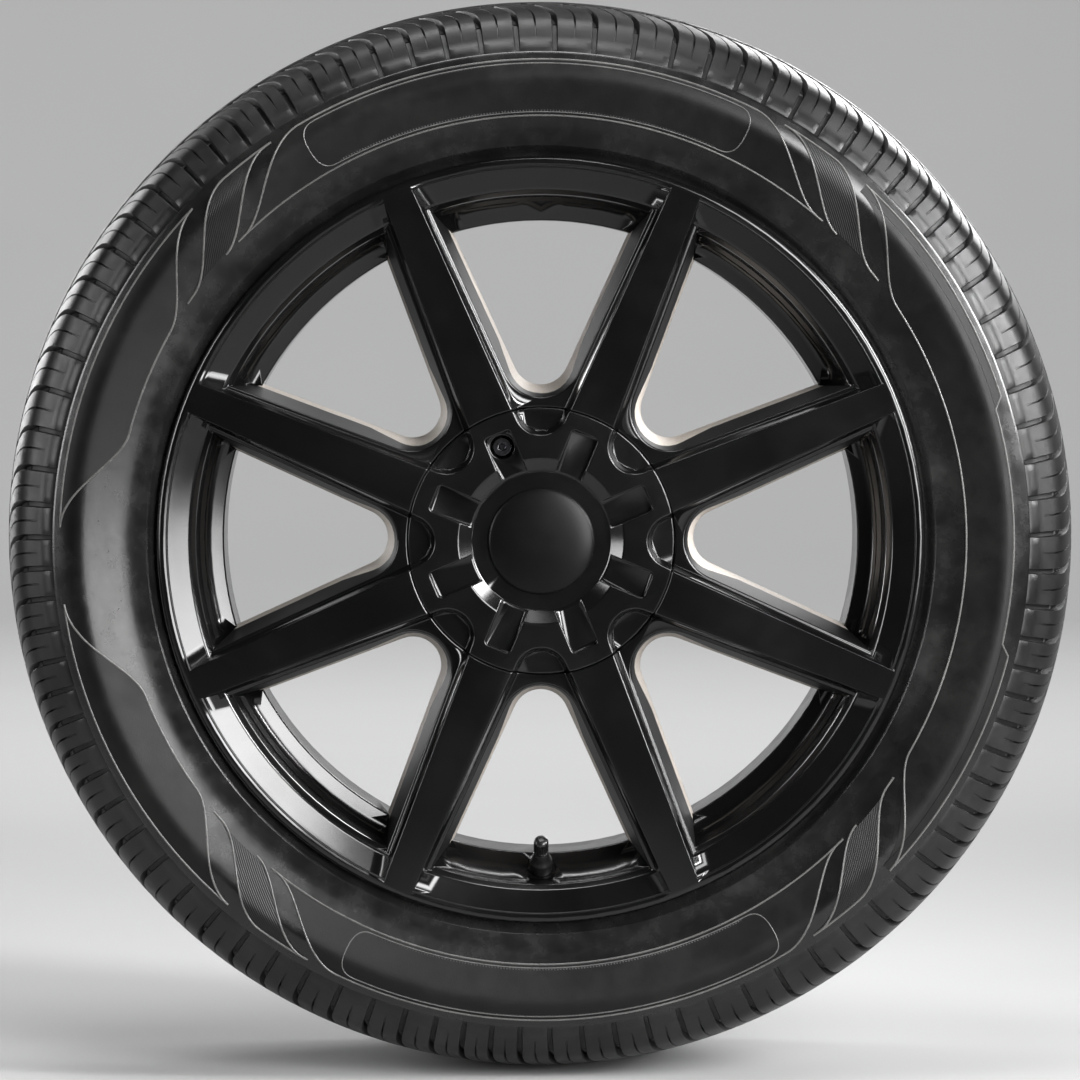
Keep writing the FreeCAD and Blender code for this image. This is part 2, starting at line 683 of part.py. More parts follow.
# Screw well in one of the tabs.
well_sketch = new_sketch(cover, "screw_well_outline", "XZ_Plane", shift="screw_boss_top", turn="half_pitch")
draw_circle(well_sketch, None, "screw_place", "screw_boss_radius")
extrude(cover, "Pad", "screw_well", well_sketch, "screw_well_wall")
recess_sketch = new_sketch(cover, "screw_recess_outline", "XZ_Plane", shift="tab_floor", turn="half_pitch")
draw_circle(recess_sketch, None, "screw_place", "screw_well_radius")
extrude(cover, "Pocket", "screw_recess", recess_sketch, "screw_well_cut")
pass_sketch = new_sketch(cover, "screw_pass_outline", "XZ_Plane", shift="screw_floor", turn="half_pitch")
draw_circle(pass_sketch, None, "screw_place", "screw_pass_radius")
extrude(cover, "Pocket", "screw_pass", pass_sketch, "screw_pass_depth")

# Centre cap: a domed disc on the dish floor, with a skirt inside the collar.
cap = new_body("centre_cap")
revolve(cap, "shell", [
    ("-cap_crown", None),
    ("-cap_crown", "cap_crown_radius"),
    ("-cap_top_edge", "cap_radius"),
    ("-dish_floor", "cap_radius"),
    ("-dish_floor", "skirt_radius"),
    ("-skirt_end", "skirt_radius"),
    ("-skirt_end", "skirt_inside_radius"),
    ("-cap_inside", "skirt_inside_radius"),
    ("-cap_inside", None),
])

# Cover screw: a low round head with a six-sided key socket.
screw = new_body("cover_screw")
head_sketch = new_sketch(screw, "head_outline", "XZ_Plane", shift="screw_floor", turn="half_pitch")
draw_circle(head_sketch, None, "screw_place", "head_radius")
extrude(screw, "Pad", "head", head_sketch, "head_height")
shank_sketch = new_sketch(screw, "shank_outline", "XZ_Plane", shift="screw_floor", turn="half_pitch")
draw_circle(shank_sketch, None, "screw_place", "screw_radius")
extrude(screw, "Pad", "shank", shank_sketch, "screw_length", back=True)
key_sketch = new_sketch(screw, "key_outline", "XZ_Plane", shift="screw_top", turn="half_pitch")
draw_outline(key_sketch, [
    ("key_corner", "screw_place"),
    ("key_quarter", "key_upper"),
    ("-key_quarter", "key_upper"),
    ("-key_corner", "screw_place"),
    ("-key_quarter", "key_lower"),
    ("key_quarter", "key_lower"),
])
extrude(screw, "Pocket", "key", key_sketch, "key_depth")

# Valve: rubber snap-in body bonded to a brass stem, with its core and cap.
rubber = new_body("valve_body")
turn_upright(rubber, "moulding", [
    ("stem_bore_radius", "-valve_base_end"),
    ("valve_base_radius", "-valve_base_end"),
    ("valve_base_radius", "-valve_seat"),
    ("valve_neck_radius", "-valve_seat"),
    ("valve_neck_radius", "valve_seat"),
    ("valve_bulge_radius", "valve_seat"),
    ("valve_bulge_radius", "valve_bulge_top"),
    ("valve_top_radius", "valve_rubber_top"),
    ("stem_bore_radius", "valve_rubber_top"),
])
stem = new_body("valve_stem")
turn_upright(stem, "tube", [
    ("air_bore_radius", "-valve_base_end"),
    ("stem_root_radius", "-valve_base_end"),
    ("stem_root_radius", "valve_rubber_top"),
    ("stem_radius", "valve_rubber_top"),
    ("stem_radius", "stem_top"),
    ("core_bore_radius", "stem_top"),
    ("core_bore_radius", "core_seat"),
    ("air_bore_radius", "core_seat"),
])
core = new_body("valve_core")
turn_upright(core, "barrel", [
    ("pin_bore_radius", "core_seat"),
    ("core_radius", "core_seat"),
    ("core_radius", "core_top"),
    ("pin_bore_radius", "core_top"),
])
pin = new_body("valve_pin")
turn_upright(pin, "rod", [
    (None, "pin_foot"),
    ("pin_foot_radius", "pin_foot"),
    ("pin_foot_radius", "core_seat"),
    ("pin_radius", "core_seat"),
    ("pin_radius", "pin_top"),
    (None, "pin_top"),
])
seal = new_body("valve_cap_seal")
turn_upright(seal, "disc", [
    (None, "stem_top"),
    ("cap_seal_radius", "stem_top"),
    ("cap_seal_radius", "cap_seal_top"),
    (None, "cap_seal_top"),
])
valve_cap = new_body("valve_cap")
turn_upright(valve_cap, "shell", [
    ("valve_cap_bore", "valve_cap_foot"),
    ("valve_cap_radius", "valve_cap_foot"),
    ("valve_cap_radius", "valve_cap_shoulder"),
    ("valve_cap_crown", "valve_cap_end"),
    (None, "valve_cap_end"),
    (None, "cap_seal_top"),
    ("valve_cap_bore", "cap_seal_top"),
])
for body in (rubber, stem, core, pin, seal, valve_cap):
    set_on_valve_axis(body)

doc.recompute()

nodes = [tyre, wheel, cover, cap, screw, rubber, stem, core, pin, seal, valve_cap]
for item in doc.Objects:
    faults = [state for state in item.State if state in ("Invalid", "Error")]
    if faults:
        raise RuntimeError(item.Label + " did not build")
for body in nodes:
    if body.Shape.isNull() or not body.Shape.isValid() or len(body.Shape.Solids) != 1:
        raise RuntimeError(body.Label + " is not one valid solid")

os.makedirs("parts", exist_ok=True)
for body in nodes:
    body.Shape.exportStep("parts/" + body.Label + ".step")
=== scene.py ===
import math
import bmesh
import bpy
import numpy as np
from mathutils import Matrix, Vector


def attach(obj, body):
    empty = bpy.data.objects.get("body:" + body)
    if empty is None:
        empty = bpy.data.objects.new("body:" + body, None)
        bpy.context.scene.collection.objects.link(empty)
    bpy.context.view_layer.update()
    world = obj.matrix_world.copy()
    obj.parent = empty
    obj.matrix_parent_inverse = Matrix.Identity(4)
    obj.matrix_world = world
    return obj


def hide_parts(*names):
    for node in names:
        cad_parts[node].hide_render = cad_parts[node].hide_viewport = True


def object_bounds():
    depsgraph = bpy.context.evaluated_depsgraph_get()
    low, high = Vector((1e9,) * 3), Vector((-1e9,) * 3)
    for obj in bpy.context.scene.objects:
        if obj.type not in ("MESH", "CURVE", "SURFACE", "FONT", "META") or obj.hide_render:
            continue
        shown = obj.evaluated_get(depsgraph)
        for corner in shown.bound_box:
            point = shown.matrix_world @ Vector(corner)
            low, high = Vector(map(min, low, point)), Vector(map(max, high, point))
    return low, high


# A mounted car wheel with its tyre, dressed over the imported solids.
# Lengths are in mm and angles in degrees, unless a comment says otherwise. The axle runs along Y, the outer
# face looks along -Y, and angles about the axle are counted from +X towards +Z.

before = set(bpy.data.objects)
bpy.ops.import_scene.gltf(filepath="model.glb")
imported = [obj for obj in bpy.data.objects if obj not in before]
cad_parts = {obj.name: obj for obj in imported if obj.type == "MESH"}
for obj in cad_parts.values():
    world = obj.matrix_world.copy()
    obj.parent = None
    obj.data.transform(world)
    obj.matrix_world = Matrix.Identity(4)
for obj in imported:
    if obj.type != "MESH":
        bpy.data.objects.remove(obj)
cad_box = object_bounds()
scene = bpy.context.scene
MM = 0.001
FULL_TURN = 360.0


# Materials: every one is made of nodes, with its own grain, gloss and wear.

# Scales of noise, per metre.
BLOOM_SCALE = 9.0
STREAK_SCALE = 60.0
GRAIN_SCALE = 1400.0
LUMP_SCALE = 130.0
CLOUD_SCALE = 14.0
SPECK_SCALE = 240.0
PEEL_SCALE = 700.0
PATCH_SCALE = 320.0
CHIP_SCALE = 500.0
FLOOR_SCALE = 3.0
# Heights of bumps.
GRAIN_HEIGHT = 0.3
LUMP_HEIGHT = 0.8
LINE_HEIGHT = 0.2
PEEL_HEIGHT = 0.2
CAST_HEIGHT = 0.3
TURNING_HEIGHT = 0.1
# Strengths of the bumps that are the same on every material of their kind.
LUMP_STRENGTH = 0.05
LINE_STRENGTH = 0.5
CAST_STRENGTH = 0.08
TURNING_STRENGTH = 0.1
# How much dust adds to the roughness of rubber.
DUST_DULLS = 0.12
PLAIN_SHINE = 0.5
# The mix node's sockets for colours: two inputs and the output.
MIX_FIRST = 6
MIX_SECOND = 7
MIX_RESULT = 2


def start_material(name):
    material = bpy.data.materials.new(name)
    material.use_nodes = True
    tree = material.node_tree
    return material, tree, tree.nodes["Principled BSDF"]


def add_node(tree, kind, **values):
    node = tree.nodes.new(kind)
    for key, value in values.items():
        node.inputs[key].default_value = value
    return node


def math_node(tree, operation, first, second=None):
    node = tree.nodes.new("ShaderNodeMath")
    node.operation = operation
    for socket, value in zip(node.inputs, (first, second)):
        if value is None:
            continue
        if isinstance(value, (int, float)):
            socket.default_value = value
        else:
            tree.links.new(value, socket)
    return node.outputs[0]


def place_of(tree):
    return tree.nodes.new("ShaderNodeTexCoord").outputs["Object"]


def noise(tree, place, scale, detail=4.0, rough=0.55):
    node = add_node(tree, "ShaderNodeTexNoise", Scale=scale, Detail=detail, Roughness=rough)
    tree.links.new(place, node.inputs["Vector"])
    return node.outputs["Fac"]


def spread(tree, value, source, result):
    """Maps the source range of a value to the result range."""
    node = tree.nodes.new("ShaderNodeMapRange")
    tree.links.new(value, node.inputs["Value"])
    for key, number in zip(("From Min", "From Max", "To Min", "To Max"), source + result):
        node.inputs[key].default_value = number
    return node.outputs[0]


def mix_colour(tree, factor, first, second):
    node = tree.nodes.new("ShaderNodeMix")
    node.data_type = "RGBA"
    tree.links.new(factor, node.inputs["Factor"])
    node.inputs[MIX_FIRST].default_value = (*first, 1.0)
    node.inputs[MIX_SECOND].default_value = (*second, 1.0)
    return node.outputs[MIX_RESULT]


def bump(tree, shader, heights):
    """Chains (height, strength, distance) into the shader's normal."""
    last = None
    for height, strength, distance in heights:
        node = add_node(tree, "ShaderNodeBump", Strength=strength, Distance=distance * MM)
        tree.links.new(height, node.inputs["Height"])
        if last is not None:
            tree.links.new(last, node.inputs["Normal"])
        last = node.outputs["Normal"]
    tree.links.new(last, shader.inputs["Normal"])


def polar(tree, place):
    """Angle in turns about the axle, radius in metres, and the sign of x times z."""
    split = tree.nodes.new("ShaderNodeSeparateXYZ")
    tree.links.new(place, split.inputs[0])
    x, z = split.outputs["X"], split.outputs["Z"]
    angle = math_node(tree, "DIVIDE", math_node(tree, "ARCTAN2", z, x), 2 * math.pi)
    x_squared = math_node(tree, "MULTIPLY", x, x)
    z_squared = math_node(tree, "MULTIPLY", z, z)
    radius = math_node(tree, "SQRT", math_node(tree, "ADD", x_squared, z_squared))
    side = math_node(tree, "SIGN", math_node(tree, "MULTIPLY", x, z))
    return angle, radius, side


def rubber(name, dark, pale, rough, grain, ribs=None, shine=PLAIN_SHINE):
    """Moulded black rubber with a dusty bloom. ribs is (lines per turn, lean in turns per metre)."""
    material, tree, shader = start_material(name)
    place = place_of(tree)
    bloom = noise(tree, place, BLOOM_SCALE, detail=8.0, rough=0.66)
    streaks = noise(tree, place, STREAK_SCALE, detail=6.0, rough=0.7)
    bloomed = spread(tree, bloom, (0.42, 0.72), (0.0, 1.0))
    streaked = spread(tree, streaks, (0.3, 0.75), (0.35, 1.0))
    dusty = math_node(tree, "MULTIPLY", bloomed, streaked)
    tree.links.new(mix_colour(tree, dusty, dark, pale), shader.inputs["Base Color"])
    uneven = spread(tree, streaks, (0.3, 0.7), (rough - 0.05, rough + 0.06))
    dulled = math_node(tree, "MULTIPLY", dusty, DUST_DULLS)
    tree.links.new(math_node(tree, "ADD", uneven, dulled), shader.inputs["Roughness"])
    heights = [
        (noise(tree, place, GRAIN_SCALE, detail=2.0), grain, GRAIN_HEIGHT),
        (noise(tree, place, LUMP_SCALE, detail=3.0), LUMP_STRENGTH, LUMP_HEIGHT)]
    if ribs:
        lines, lean = ribs
        angle, radius, side = polar(tree, place)
        lean_by = math_node(tree, "MULTIPLY", math_node(tree, "MULTIPLY", radius, lean), side)
        leaning = math_node(tree, "SUBTRACT", angle, lean_by)
        phase = math_node(tree, "MULTIPLY", leaning, lines * 2 * math.pi)
        heights.append((math_node(tree, "SINE", phase), LINE_STRENGTH, LINE_HEIGHT))
    bump(tree, shader, heights)
    shader.inputs["Specular IOR Level"].default_value = shine
    return material


def paint(name, dark, pale, rough, peel, shine=PLAIN_SHINE):
    """Satin black paint: fine orange peel, a little dust, paler worn edges."""
    material, tree, shader = start_material(name)
    place = place_of(tree)
    cloud = noise(tree, place, CLOUD_SCALE, detail=6.0, rough=0.6)
    fine = noise(tree, place, SPECK_SCALE, detail=3.0, rough=0.6)
    sharpness = tree.nodes.new("ShaderNodeNewGeometry").outputs["Pointiness"]
    edges = spread(tree, sharpness, (0.52, 0.62), (0.0, 0.55))
    dust = math_node(tree, "MULTIPLY", spread(tree, cloud, (0.4, 0.75), (0.0, 0.6)), fine)
    shown = math_node(tree, "MAXIMUM", edges, dust)
    tree.links.new(mix_colour(tree, shown, dark, pale), shader.inputs["Base Color"])
    uneven = spread(tree, cloud, (0.3, 0.7), (rough - 0.04, rough + 0.05))
    tree.links.new(uneven, shader.inputs["Roughness"])
    orange_peel = noise(tree, place, PEEL_SCALE, detail=2.0)
    bump(tree, shader, [(orange_peel, peel, PEEL_HEIGHT), (fine, peel, PEEL_HEIGHT)])
    shader.inputs["Specular IOR Level"].default_value = shine
    return material


# Where the painted highlight on the window walls begins, in metres: along the axle, and earlier towards the
# hub.
HIGHLIGHT_FROM_TO = (-0.0625, -0.0605)
ROOT_FROM_TO = (0.104, 0.140)
ROOT_EARLIER = 0.020
HIGHLIGHT_WOBBLE = 0.003
BLACK_WALL = (0.0045, 0.0045, 0.0047)
# Pale beige of the painted highlight on the windows' rear edges.
PAINTED_HIGHLIGHT_BEIGE = (0.50, 0.455, 0.41)


def rear_edge_painted_highlight(name):
    """The window walls: black paint, turning to a painted highlight at the rear edge."""
    material, tree, shader = start_material(name)
    place = place_of(tree)
    split = tree.nodes.new("ShaderNodeSeparateXYZ")
    tree.links.new(place, split.inputs[0])
    wobble = math_node(tree, "MULTIPLY", noise(tree, place, STREAK_SCALE), HIGHLIGHT_WOBBLE)
    radius = polar(tree, place)[1]
    earlier = spread(tree, radius, ROOT_FROM_TO, (ROOT_EARLIER, 0.0))
    depth = math_node(tree, "ADD", math_node(tree, "ADD", split.outputs["Y"], wobble), earlier)
    # thin is the mask of the painted highlight: 0 in the black paint, 1 at the rear edge.
    thin = spread(tree, depth, HIGHLIGHT_FROM_TO, (0.0, 1.0))
    speck = spread(tree, noise(tree, place, CHIP_SCALE, detail=3.0), (0.3, 0.7), (0.8, 1.0))
    shown = math_node(tree, "MULTIPLY", thin, speck)
    tree.links.new(mix_colour(tree, shown, BLACK_WALL, PAINTED_HIGHLIGHT_BEIGE), shader.inputs["Base Color"])
    tree.links.new(spread(tree, thin, (0.0, 1.0), (0.55, 0.62)), shader.inputs["Roughness"])
    shader.inputs["Specular IOR Level"].default_value = 0.12
    bump(tree, shader, [(noise(tree, place, PEEL_SCALE, detail=2.0), CAST_STRENGTH, CAST_HEIGHT)])
    return material


def metal(name, colour, worn, rough, turning_scale):
    """Metal with fine turning marks and a few dull patches."""
    material, tree, shader = start_material(name)
    place = place_of(tree)
    patches = noise(tree, place, PATCH_SCALE, detail=5.0, rough=0.6)
    dull = spread(tree, patches, (0.4, 0.7), (0.0, 1.0))
    tree.links.new(mix_colour(tree, dull, colour, worn), shader.inputs["Base Color"])
    uneven = spread(tree, patches, (0.3, 0.7), (rough - 0.06, rough + 0.1))
    tree.links.new(uneven, shader.inputs["Roughness"])
    shader.inputs["Metallic"].default_value = 1.0
    marks = noise(tree, place, turning_scale, detail=2.0)
    bump(tree, shader, [(marks, TURNING_STRENGTH, TURNING_HEIGHT)])
    return material


smooth_rubber = rubber("rubber_smooth", (0.0035, 0.0035, 0.0036), (0.016, 0.0155, 0.015), 0.23, 0.06)
matt_rubber = rubber(
    "rubber_matt", (0.003, 0.003, 0.0031), (0.012, 0.0116, 0.011), 0.42, 0.20, shine=0.22)
slant_rubber = rubber(
    "rubber_slant_lines", (0.006, 0.006, 0.0062), (0.018, 0.0175, 0.017), 0.33, 0.10,
    ribs=(700, 0.92), shine=0.24)
radial_rubber = rubber(
    "rubber_radial_lines", (0.005, 0.005, 0.0052), (0.015, 0.0146, 0.014), 0.38, 0.10,
    ribs=(900, 0.0), shine=0.30)
# The ribs are much paler than the other rubber: painted highlight for the light on their round tops.
rib_rubber_painted_highlight = rubber("rubber_ribs_painted_highlight", (0.075, 0.074, 0.072), (0.15, 0.147, 0.143), 0.26, 0.04)
tread_rubber = rubber(
    "rubber_tread", (0.003, 0.003, 0.0032), (0.022, 0.0215, 0.021), 0.38, 0.25, shine=0.36)
# The groove rubber is darker than the tread: cleaner rubber, and painted shade in the grooves.
groove_rubber_painted_shade = rubber("rubber_groove_painted_shade", (0.002, 0.002, 0.0021), (0.004, 0.004, 0.004), 0.50, 0.10)
wheel_paint = paint("wheel_satin_black", (0.0022, 0.0022, 0.0023), (0.006, 0.006, 0.0062), 0.16, 0.025)
# Window walls: black paint with a painted highlight along their rear edges.
wall_paint_and_highlight = rear_edge_painted_highlight("window_wall_paint_and_painted_highlight")
cover_plastic = paint("cover_satin_black", (0.0024, 0.0024, 0.0025), (0.006, 0.006, 0.0062), 0.19, 0.03)
cap_plastic = paint(
    "cap_satin_black", (0.0024, 0.0024, 0.0025), (0.008, 0.008, 0.0083), 0.36, 0.02, shine=0.16)
bead_paint = paint(
    "lip_bead_black", (0.0022, 0.0022, 0.0023), (0.008, 0.008, 0.0083), 0.30, 0.02, shine=0.30)
screw_metal = metal("screw_dark_plate", (0.16, 0.16, 0.17), (0.09, 0.09, 0.10), 0.2, 900.0)
brass = metal("valve_brass", (0.72, 0.52, 0.24), (0.55, 0.38, 0.17), 0.3, 1500.0)
valve_rubber = rubber("valve_rubber", (0.005, 0.005, 0.0052), (0.02, 0.0195, 0.019), 0.34, 0.15)
knob_plastic = paint("valve_cap_black", (0.004, 0.004, 0.0042), (0.02, 0.02, 0.02), 0.26, 0.06)


# Mesh helpers

# Edges that turn by more than this show as creases.
CREASE = 35.0
RIB_CREASE = 62.0


def make_object(name, verts, faces, materials, indices=None, crease=CREASE, scale=MM):
    mesh = bpy.data.meshes.new(name)
    mesh.from_pydata((np.asarray(verts, float) * scale).tolist(), [], faces)
    for material in materials:
        mesh.materials.append(material)
    if indices is not None:
        mesh.polygons.foreach_set("material_index", np.asarray(indices, np.int32))
    mesh.validate()
    work = bmesh.new()
    work.from_mesh(mesh)
    bmesh.ops.recalc_face_normals(work, faces=work.faces)
    work.to_mesh(mesh)
    work.free()
    mesh.shade_smooth()
    mesh.set_sharp_from_angle(angle=math.radians(crease))
    obj = bpy.data.objects.new(name, mesh)
    scene.collection.objects.link(obj)
    return obj


class Builder:
    """Collects the points and faces of one piece."""

    def __init__(self):
        self.verts = []
        self.faces = []
        self.index = []

    def add_ring(self, points):
        start = len(self.verts)
        self.verts.extend(points)
        return list(range(start, start + len(points)))

    def face(self, corners, material):
        self.faces.append(corners)
        self.index.append(material)

    def join(self, first, second, material):
        """Quads between two closed rings of equal count, in one material or a list of one for each."""
        count = len(first)
        for i in range(count):
            j = (i + 1) % count
            shown = material[i] if isinstance(material, list) else material
            self.face((first[i], first[j], second[j], second[i]), shown)

    def bar(self, rings, material):
        """A solid bar through a row of rings, with flat ends."""
        for first, second in zip(rings, rings[1:]):
            self.join(first, second, material)
        self.face(tuple(rings[0]), material)
        self.face(tuple(reversed(rings[-1])), material)

    def loop(self, rings, material):
        """A bar whose last ring meets its first."""
        for first, second in zip(rings, rings[1:] + rings[:1]):
            self.join(first, second, material)

    def stitch(self, first, first_turns, second, second_turns, material):
        """Triangles between two closed rings of different count, matched by angle."""
        i = j = 0
        n, m = len(first), len(second)
        while i < n or j < m:
            ahead = first_turns[i + 1] if i + 1 < n else first_turns[0] + FULL_TURN
            other = second_turns[j + 1] if j + 1 < m else second_turns[0] + FULL_TURN
            if j >= m or (i < n and ahead <= other):
                self.face((first[i % n], first[(i + 1) % n], second[j % m]), material)
                i += 1
            else:
                self.face((first[i % n], second[(j + 1) % m], second[j % m]), material)
                j += 1

    def plate(self, top, low, material):
        """A closed thin plate between two equal grids of points."""
        rows, cols = len(top), len(top[0])
        upper = [self.add_ring(row) for row in top]
        lower = [self.add_ring(row) for row in low]
        for i in range(rows - 1):
            for j in range(cols - 1):
                self.face((upper[i][j], upper[i][j + 1], upper[i + 1][j + 1], upper[i + 1][j]), material)
                self.face((lower[i][j], lower[i + 1][j], lower[i + 1][j + 1], lower[i][j + 1]), material)
        edge = [(0, j) for j in range(cols)]
        edge += [(i, cols - 1) for i in range(1, rows)]
        edge += [(rows - 1, j) for j in range(cols - 2, -1, -1)]
        edge += [(i, 0) for i in range(rows - 2, 0, -1)]
        for (a, b), (c, d) in zip(edge, edge[1:] + edge[:1]):
            self.face((upper[a][b], lower[a][b], lower[c][d], upper[c][d]), material)


def ring_points(turns, radii, across):
    turns = np.radians(np.asarray(turns, float))
    radii = np.broadcast_to(radii, turns.shape)
    across = np.broadcast_to(across, turns.shape)
    return np.stack([radii * np.cos(turns), across, radii * np.sin(turns)], 1).tolist()


# Tyre: the section is (distance from the middle plane, radius).

SMOOTH, TREAD, GROOVE = 0, 1, 2
PITCHES = 92
# The blocks differ in length by waves round the tread: share of the length, waves in a turn, phase.
PITCH_WAVES = ((0.13, 5, 0), (0.05, 13, 1))
# Half widths, in degrees, of a groove at its top, below its worn edge and at its floor, and of a fine cut.
GROOVE_HALF = 0.36
GROOVE_EDGE_HALF = 0.30
GROOVE_FLOOR_HALF = 0.24
CUT_HALF = 0.11
CUT_FLOOR_HALF = 0.06
# Depth below the worn edge, as a share of the groove's depth.
GROOVE_EDGE_SHARE = 0.09
# Points on a block before and after its fine cut, as shares of its length.
BEFORE_CUT = 0.27
AFTER_CUT = 0.73
# A face whose four corners are cut deeper than this in all is groove, in darker rubber with painted shade,
# and not worn tread.
GROOVE_SHOWN = 5.0
# Up to this place the tread is cut towards the axle, and past it square to its surface.
SHOULDER = 95.0
# On the shoulder the fine cuts bend: by how much, from where, and over what run.
CUT_BEND = 0.35
CUT_BEND_FROM = 60.0
CUT_BEND_RUN = 40.0
# Half of the tread, from the middle outwards: place, radius, groove depth, cut depth, lean of the grooves.
TREAD_ROWS = [
    (0.0, 363.0, 0, 0, 0.0), (3.0, 363.0, 0, 0, 0.25), (4.6, 369.9, 0, 0, 0.45), (5.4, 370.5, 0, 0, 0.5),
    (9.0, 370.4, 0, 0, 0.9), (10.0, 370.4, 0, 3.0, 1.0), (26.0, 369.8, 0, 3.0, 2.4),
    (33.0, 369.2, 0, 3.0, 3.0), (34.0, 369.1, 0.6, 3.0, 3.1), (38.0, 368.8, 3.5, 0, 3.5),
    (46.4, 368.0, 4.5, 0, 4.2), (47.0, 367.5, 4.5, 0, 4.25), (49.0, 359.8, 0, 0, 4.4),
    (55.0, 359.8, 0, 0, 4.9), (56.8, 366.1, 5.6, 0, 5.0), (57.5, 366.6, 6.0, 0, 5.05),
    (61.0, 366.0, 6.0, 0, 5.35), (62.0, 365.9, 6.0, 3.0, 5.4), (72.0, 364.4, 6.0, 3.0, 6.2),
    (82.0, 362.0, 6.0, 3.0, 6.9), (89.0, 359.6, 5.8, 3.0, 7.25), (94.0, 357.0, 5.4, 2.5, 7.42),
    (97.6, 354.2, 5.0, 2.0, 7.5), (100.4, 350.8, 4.6, 1.2, 7.54), (102.4, 347.6, 4.2, 0.6, 7.56),
    (104.8, 343.3, 3.6, 0, 7.58), (106.6, 339.9, 3.1, 0, 7.6), (107.6, 339.1, 2.9, 0, 7.6),
    (109.6, 335.6, 2.2, 0, 7.6), (110.6, 333.8, 1.2, 0, 7.6), (110.7, 332.6, 0, 0, 7.6)]
# A side wall from the tread's foot to the bead: widest near the foot, then a slope, a gentle run and a step.
WALL_ROWS = [
    (111.1, 332.2), (111.8, 330.8), (113.0, 328.4), (114.4, 325.6), (115.6, 322.8), (116.5, 320.2),
    (117.1, 317.6), (117.15, 315.2), (116.75, 312.8), (116.0, 310.2), (114.95, 306.8), (113.75, 303.0),
    (112.5, 299.0), (111.25, 295.0), (110.0, 291.0), (108.75, 287.0), (107.6, 283.2), (106.75, 279.8),
    (106.25, 276.4), (105.8, 272.8), (105.4, 269.4), (103.3, 267.3), (101.4, 265.2), (100.2, 263.6),
    (99.85, 262.4)]
# Under the bead and round the liner: hidden by the rim. The last row is the middle of the tyre.
INNER_ROWS = [
    (94.85, 241.9), (92.0, 241.7), (75.25, 240.9), (76.5, 246.0), (90.0, 262.0), (103.0, 283.0),
    (108.3, 303.3), (98.0, 330.0), (75.0, 353.3), (40.0, 355.6), (0.0, 356.2)]
WALL_COLUMNS = 360
INNER_COLUMNS = 140
wall_turns = np.arange(WALL_COLUMNS) * FULL_TURN / WALL_COLUMNS
inner_turns = np.arange(INNER_COLUMNS) * FULL_TURN / INNER_COLUMNS


def tread_columns():
    """Angle, share of a groove's depth and share of a fine cut's depth, for each column of points."""
    steps = np.arange(PITCHES)
    pitch = np.ones(PITCHES)
    for share, waves, phase in PITCH_WAVES:
        pitch = pitch + share * np.sin(2 * np.pi * waves * steps / PITCHES + phase)
    pitch *= FULL_TURN / pitch.sum()
    starts = np.concatenate([[0.0], np.cumsum(pitch)[:-1]])
    columns = []
    for start, length in zip(starts, pitch):
        middle = start + 0.5 * length
        columns += [
            (start - GROOVE_HALF, 0.0, 0.0),
            (start - GROOVE_EDGE_HALF, GROOVE_EDGE_SHARE, 0.0),
            (start - GROOVE_FLOOR_HALF, 1.0, 0.0),
            (start + GROOVE_FLOOR_HALF, 1.0, 0.0),
            (start + GROOVE_EDGE_HALF, GROOVE_EDGE_SHARE, 0.0),
            (start + GROOVE_HALF, 0.0, 0.0),
            (start + BEFORE_CUT * length, 0.0, 0.0),
            (middle - CUT_HALF, 0.0, 0.0),
            (middle - CUT_FLOOR_HALF, 0.0, 1.0),
            (middle + CUT_FLOOR_HALF, 0.0, 1.0),
            (middle + CUT_HALF, 0.0, 0.0),
            (start + AFTER_CUT * length, 0.0, 0.0)]
    return np.array(columns).T


def wall_place(radius):
    """How far out the side wall stands at a radius, and the slope there."""
    radii = np.array([row[1] for row in WALL_ROWS][::-1])
    places = np.array([row[0] for row in WALL_ROWS][::-1])
    place = np.interp(radius, radii, places)
    slope = (np.interp(radius + 1.0, radii, places) - np.interp(radius - 1.0, radii, places)) / 2.0
    return place, slope


def add_tread(tyre):
    """The whole tread. Gives the ring and the angles of its outer foot, then those of its inner foot."""
    columns, groove_share, cut_share = tread_columns()
    half = np.array(TREAD_ROWS)
    section = half[:, :2]
    run = np.gradient(section, axis=0)
    run /= np.linalg.norm(run, axis=1)[:, None]
    inward = np.stack([run[:, 1], -run[:, 0]], 1)
    inward[section[:, 0] < SHOULDER] = (0.0, -1.0)
    order = [(-1, k) for k in range(len(half) - 1, 0, -1)] + [(1, k) for k in range(len(half))]
    rows = []
    for side, k in order:
        place, radius, groove, cut, lean = half[k]
        depth = np.maximum(groove * groove_share, cut * cut_share)
        along_bend = min(max((place - CUT_BEND_FROM) / CUT_BEND_RUN, 0.0), 1.0)
        bend = CUT_BEND * math.sin(along_bend * math.pi) * cut_share
        turns = columns + side * lean + bend
        points = ring_points(turns, radius + depth * inward[k, 1], side * (place + depth * inward[k, 0]))
        rows.append((tyre.add_ring(points), turns, depth))
    for (first, _, depth), (second, _, next_depth) in zip(rows, rows[1:]):
        cut_in_all = depth + np.roll(depth, -1) + next_depth + np.roll(next_depth, -1)
        tyre.join(first, second, np.where(cut_in_all > GROOVE_SHOWN, GROOVE, TREAD).tolist())
    return rows[0][:2], rows[-1][:2]


